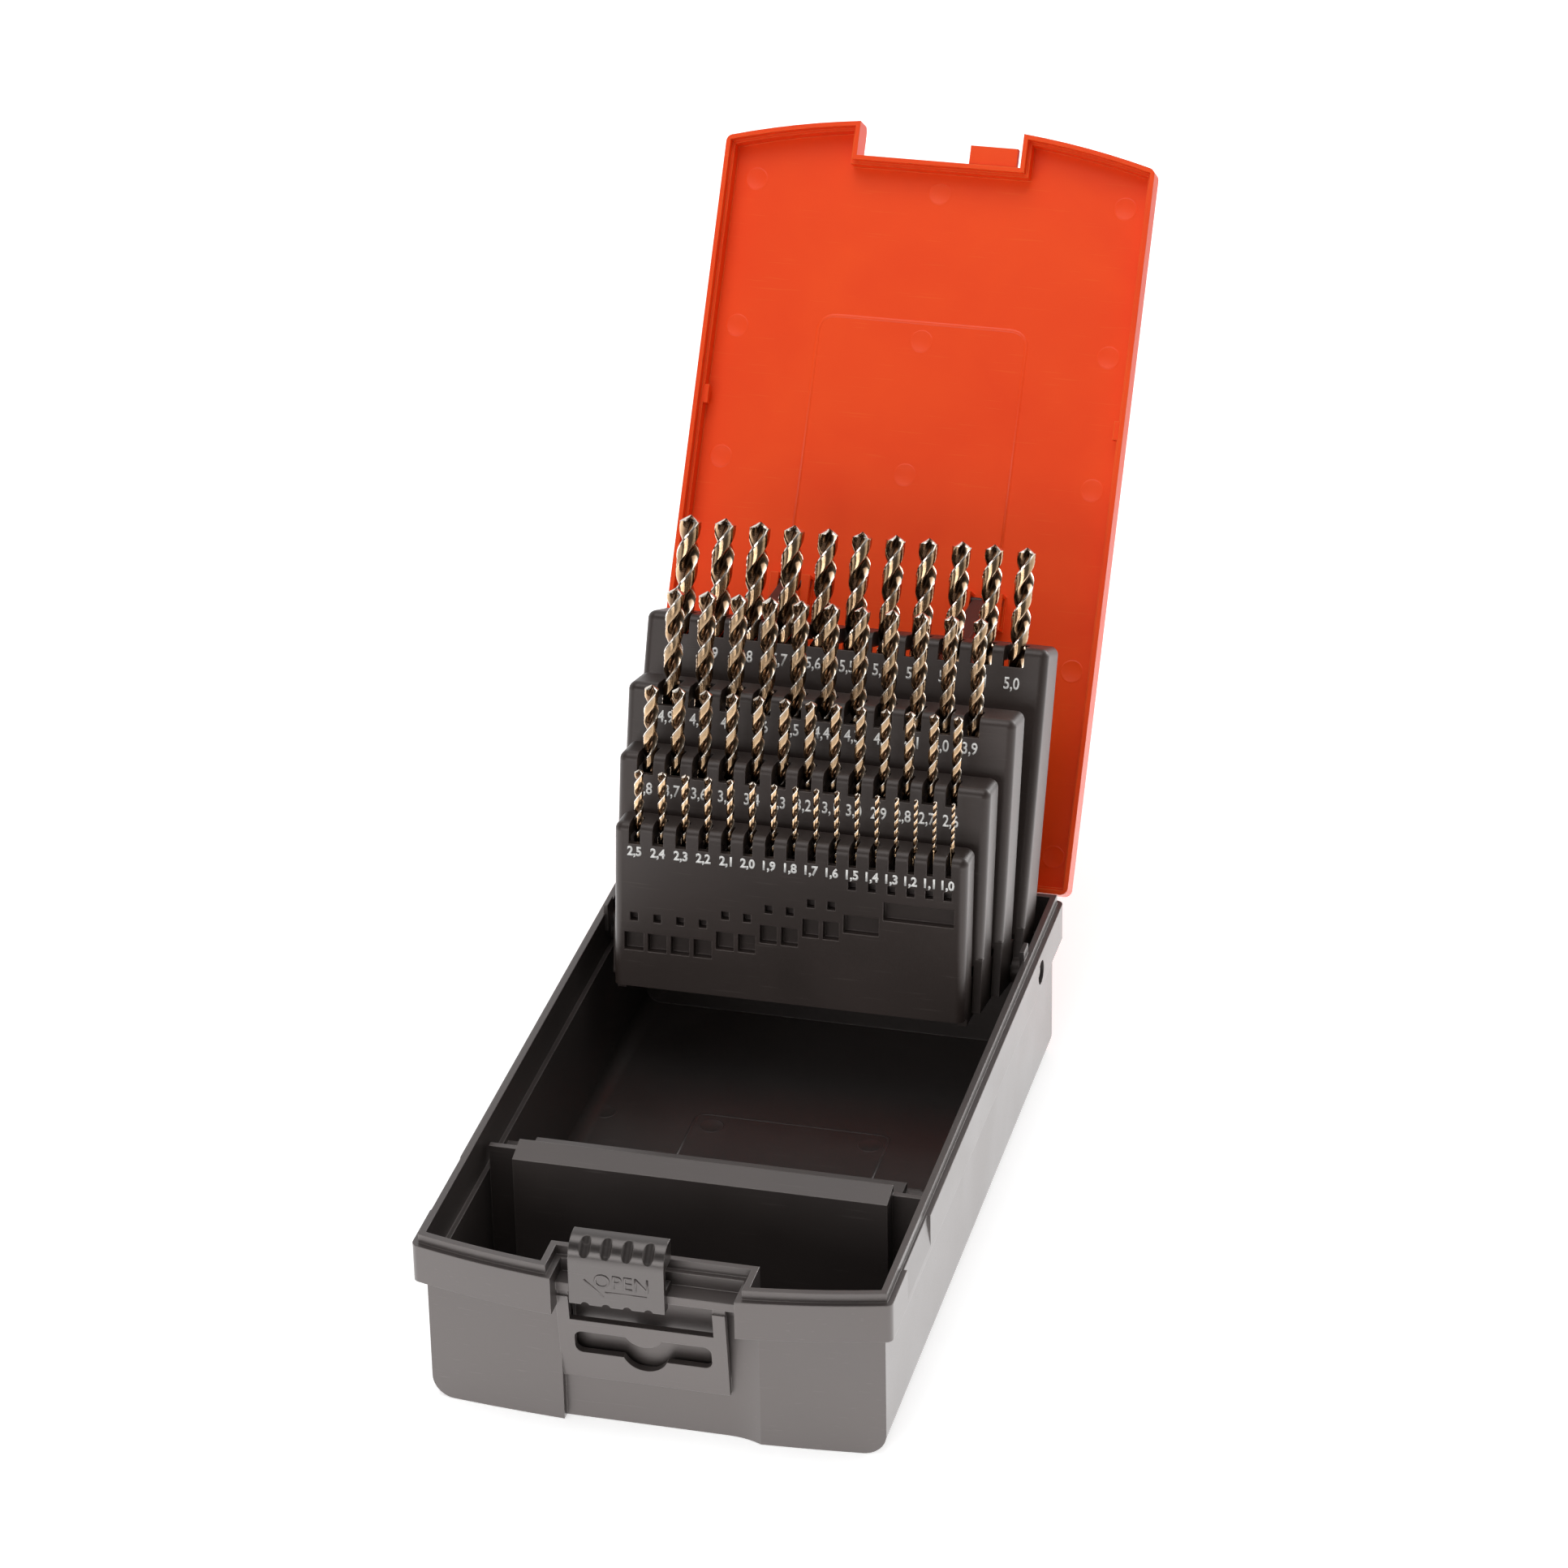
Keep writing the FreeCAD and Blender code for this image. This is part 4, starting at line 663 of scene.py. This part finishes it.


# Backdrop. A world that shows white behind the case, and a dim studio above
# and in front, which the gloss of the plastic and the steel shows.
room = bpy.data.worlds.new("white_room")
bpy.context.scene.world = room
room.use_nodes = True
tree = room.node_tree
tree.nodes.clear()
camera_ray, mirrored_ray = ray_kinds(tree)
sky = add(tree, "ShaderNodeTexCoord")
dim_side = add(tree, "ShaderNodeVectorMath", {0: sky.outputs["Generated"], 1: (0.0, -0.8, 1.0)},
               operation="DOT_PRODUCT")
dimmed = add(tree, "ShaderNodeMapRange", {"Value": dim_side.outputs["Value"], "From Min": 0.30,
                                          "From Max": 0.70, "To Min": 1.0, "To Max": 0.12})
white = (1, 1, 1, 1)
fill = add(tree, "ShaderNodeBackground", {"Color": white, "Strength": 0.4})
gloss_room = add(tree, "ShaderNodeBackground", {"Color": white, "Strength": dimmed.outputs[0]})
backdrop = add(tree, "ShaderNodeBackground", {"Color": white, "Strength": 1.0})
lit = add(tree, "ShaderNodeMixShader", {0: mirrored_ray, 1: fill.outputs[0], 2: gloss_room.outputs[0]})
seen = add(tree, "ShaderNodeMixShader", {0: camera_ray, 1: lit.outputs[0], 2: backdrop.outputs[0]})
add(tree, "ShaderNodeOutputWorld", {"Surface": seen.outputs[0]})


# Lamps. Three soft boxes as in a product studio: a large one overhead, a wide
# low one in front, and one behind to the right that skims the side walls.
def soft_box(name, at, aim, size, power):
    """A rectangular soft box of so many metres and watts, turned to its aim."""
    lamp = bpy.data.lights.new(name, "AREA")
    lamp.shape = "RECTANGLE"
    lamp.size, lamp.size_y = size
    lamp.energy = power
    hung = put_in_scene(name, lamp)
    hung.location = at
    hung.rotation_euler = (Vector(aim) - Vector(at)).to_track_quat("-Z", "Y").to_euler()


soft_box("overhead_box", at=(-0.1, -0.1, 1.3), aim=(0, 0.05, 0.1), size=(0.9, 0.9), power=7)
soft_box("front_box", at=(-0.5, -1.6, 0.5), aim=(0, -0.05, 0.08), size=(1.2, 0.6), power=8)
soft_box("right_box", at=(1.0, 1.5, 0.5), aim=(0, 0.0, 0.05), size=(0.9, 0.8), power=12)


# Camera. It stands at the photograph's own place: in front, a little to the right
# and well above the case, with a long lens.
film_width = 1932
focal_pixels = 6977.58
eye = Vector((320.29, -1169.95, 786.47)) * mm
yaw, pitch, roll = math.radians(14.88236), math.radians(28.61235), math.radians(-1.11781)
ahead = Vector((-math.sin(yaw) * math.cos(pitch), math.cos(yaw) * math.cos(pitch), -math.sin(pitch)))
level = Vector((math.cos(yaw), math.sin(yaw), 0))
above = level.cross(ahead)
right = level * math.cos(roll) + above * math.sin(roll)
upward = above * math.cos(roll) - level * math.sin(roll)
glass = bpy.data.cameras.new("camera")
glass.sensor_width = 36
glass.lens = focal_pixels / film_width * glass.sensor_width
glass.clip_start = 0.05
camera = put_in_scene("camera", glass)
camera.matrix_world = Matrix.Translation(eye) @ Matrix((right, upward, -ahead)).transposed().to_4x4()
bpy.context.scene.camera = camera
bpy.context.scene.view_settings.view_transform = "Standard"
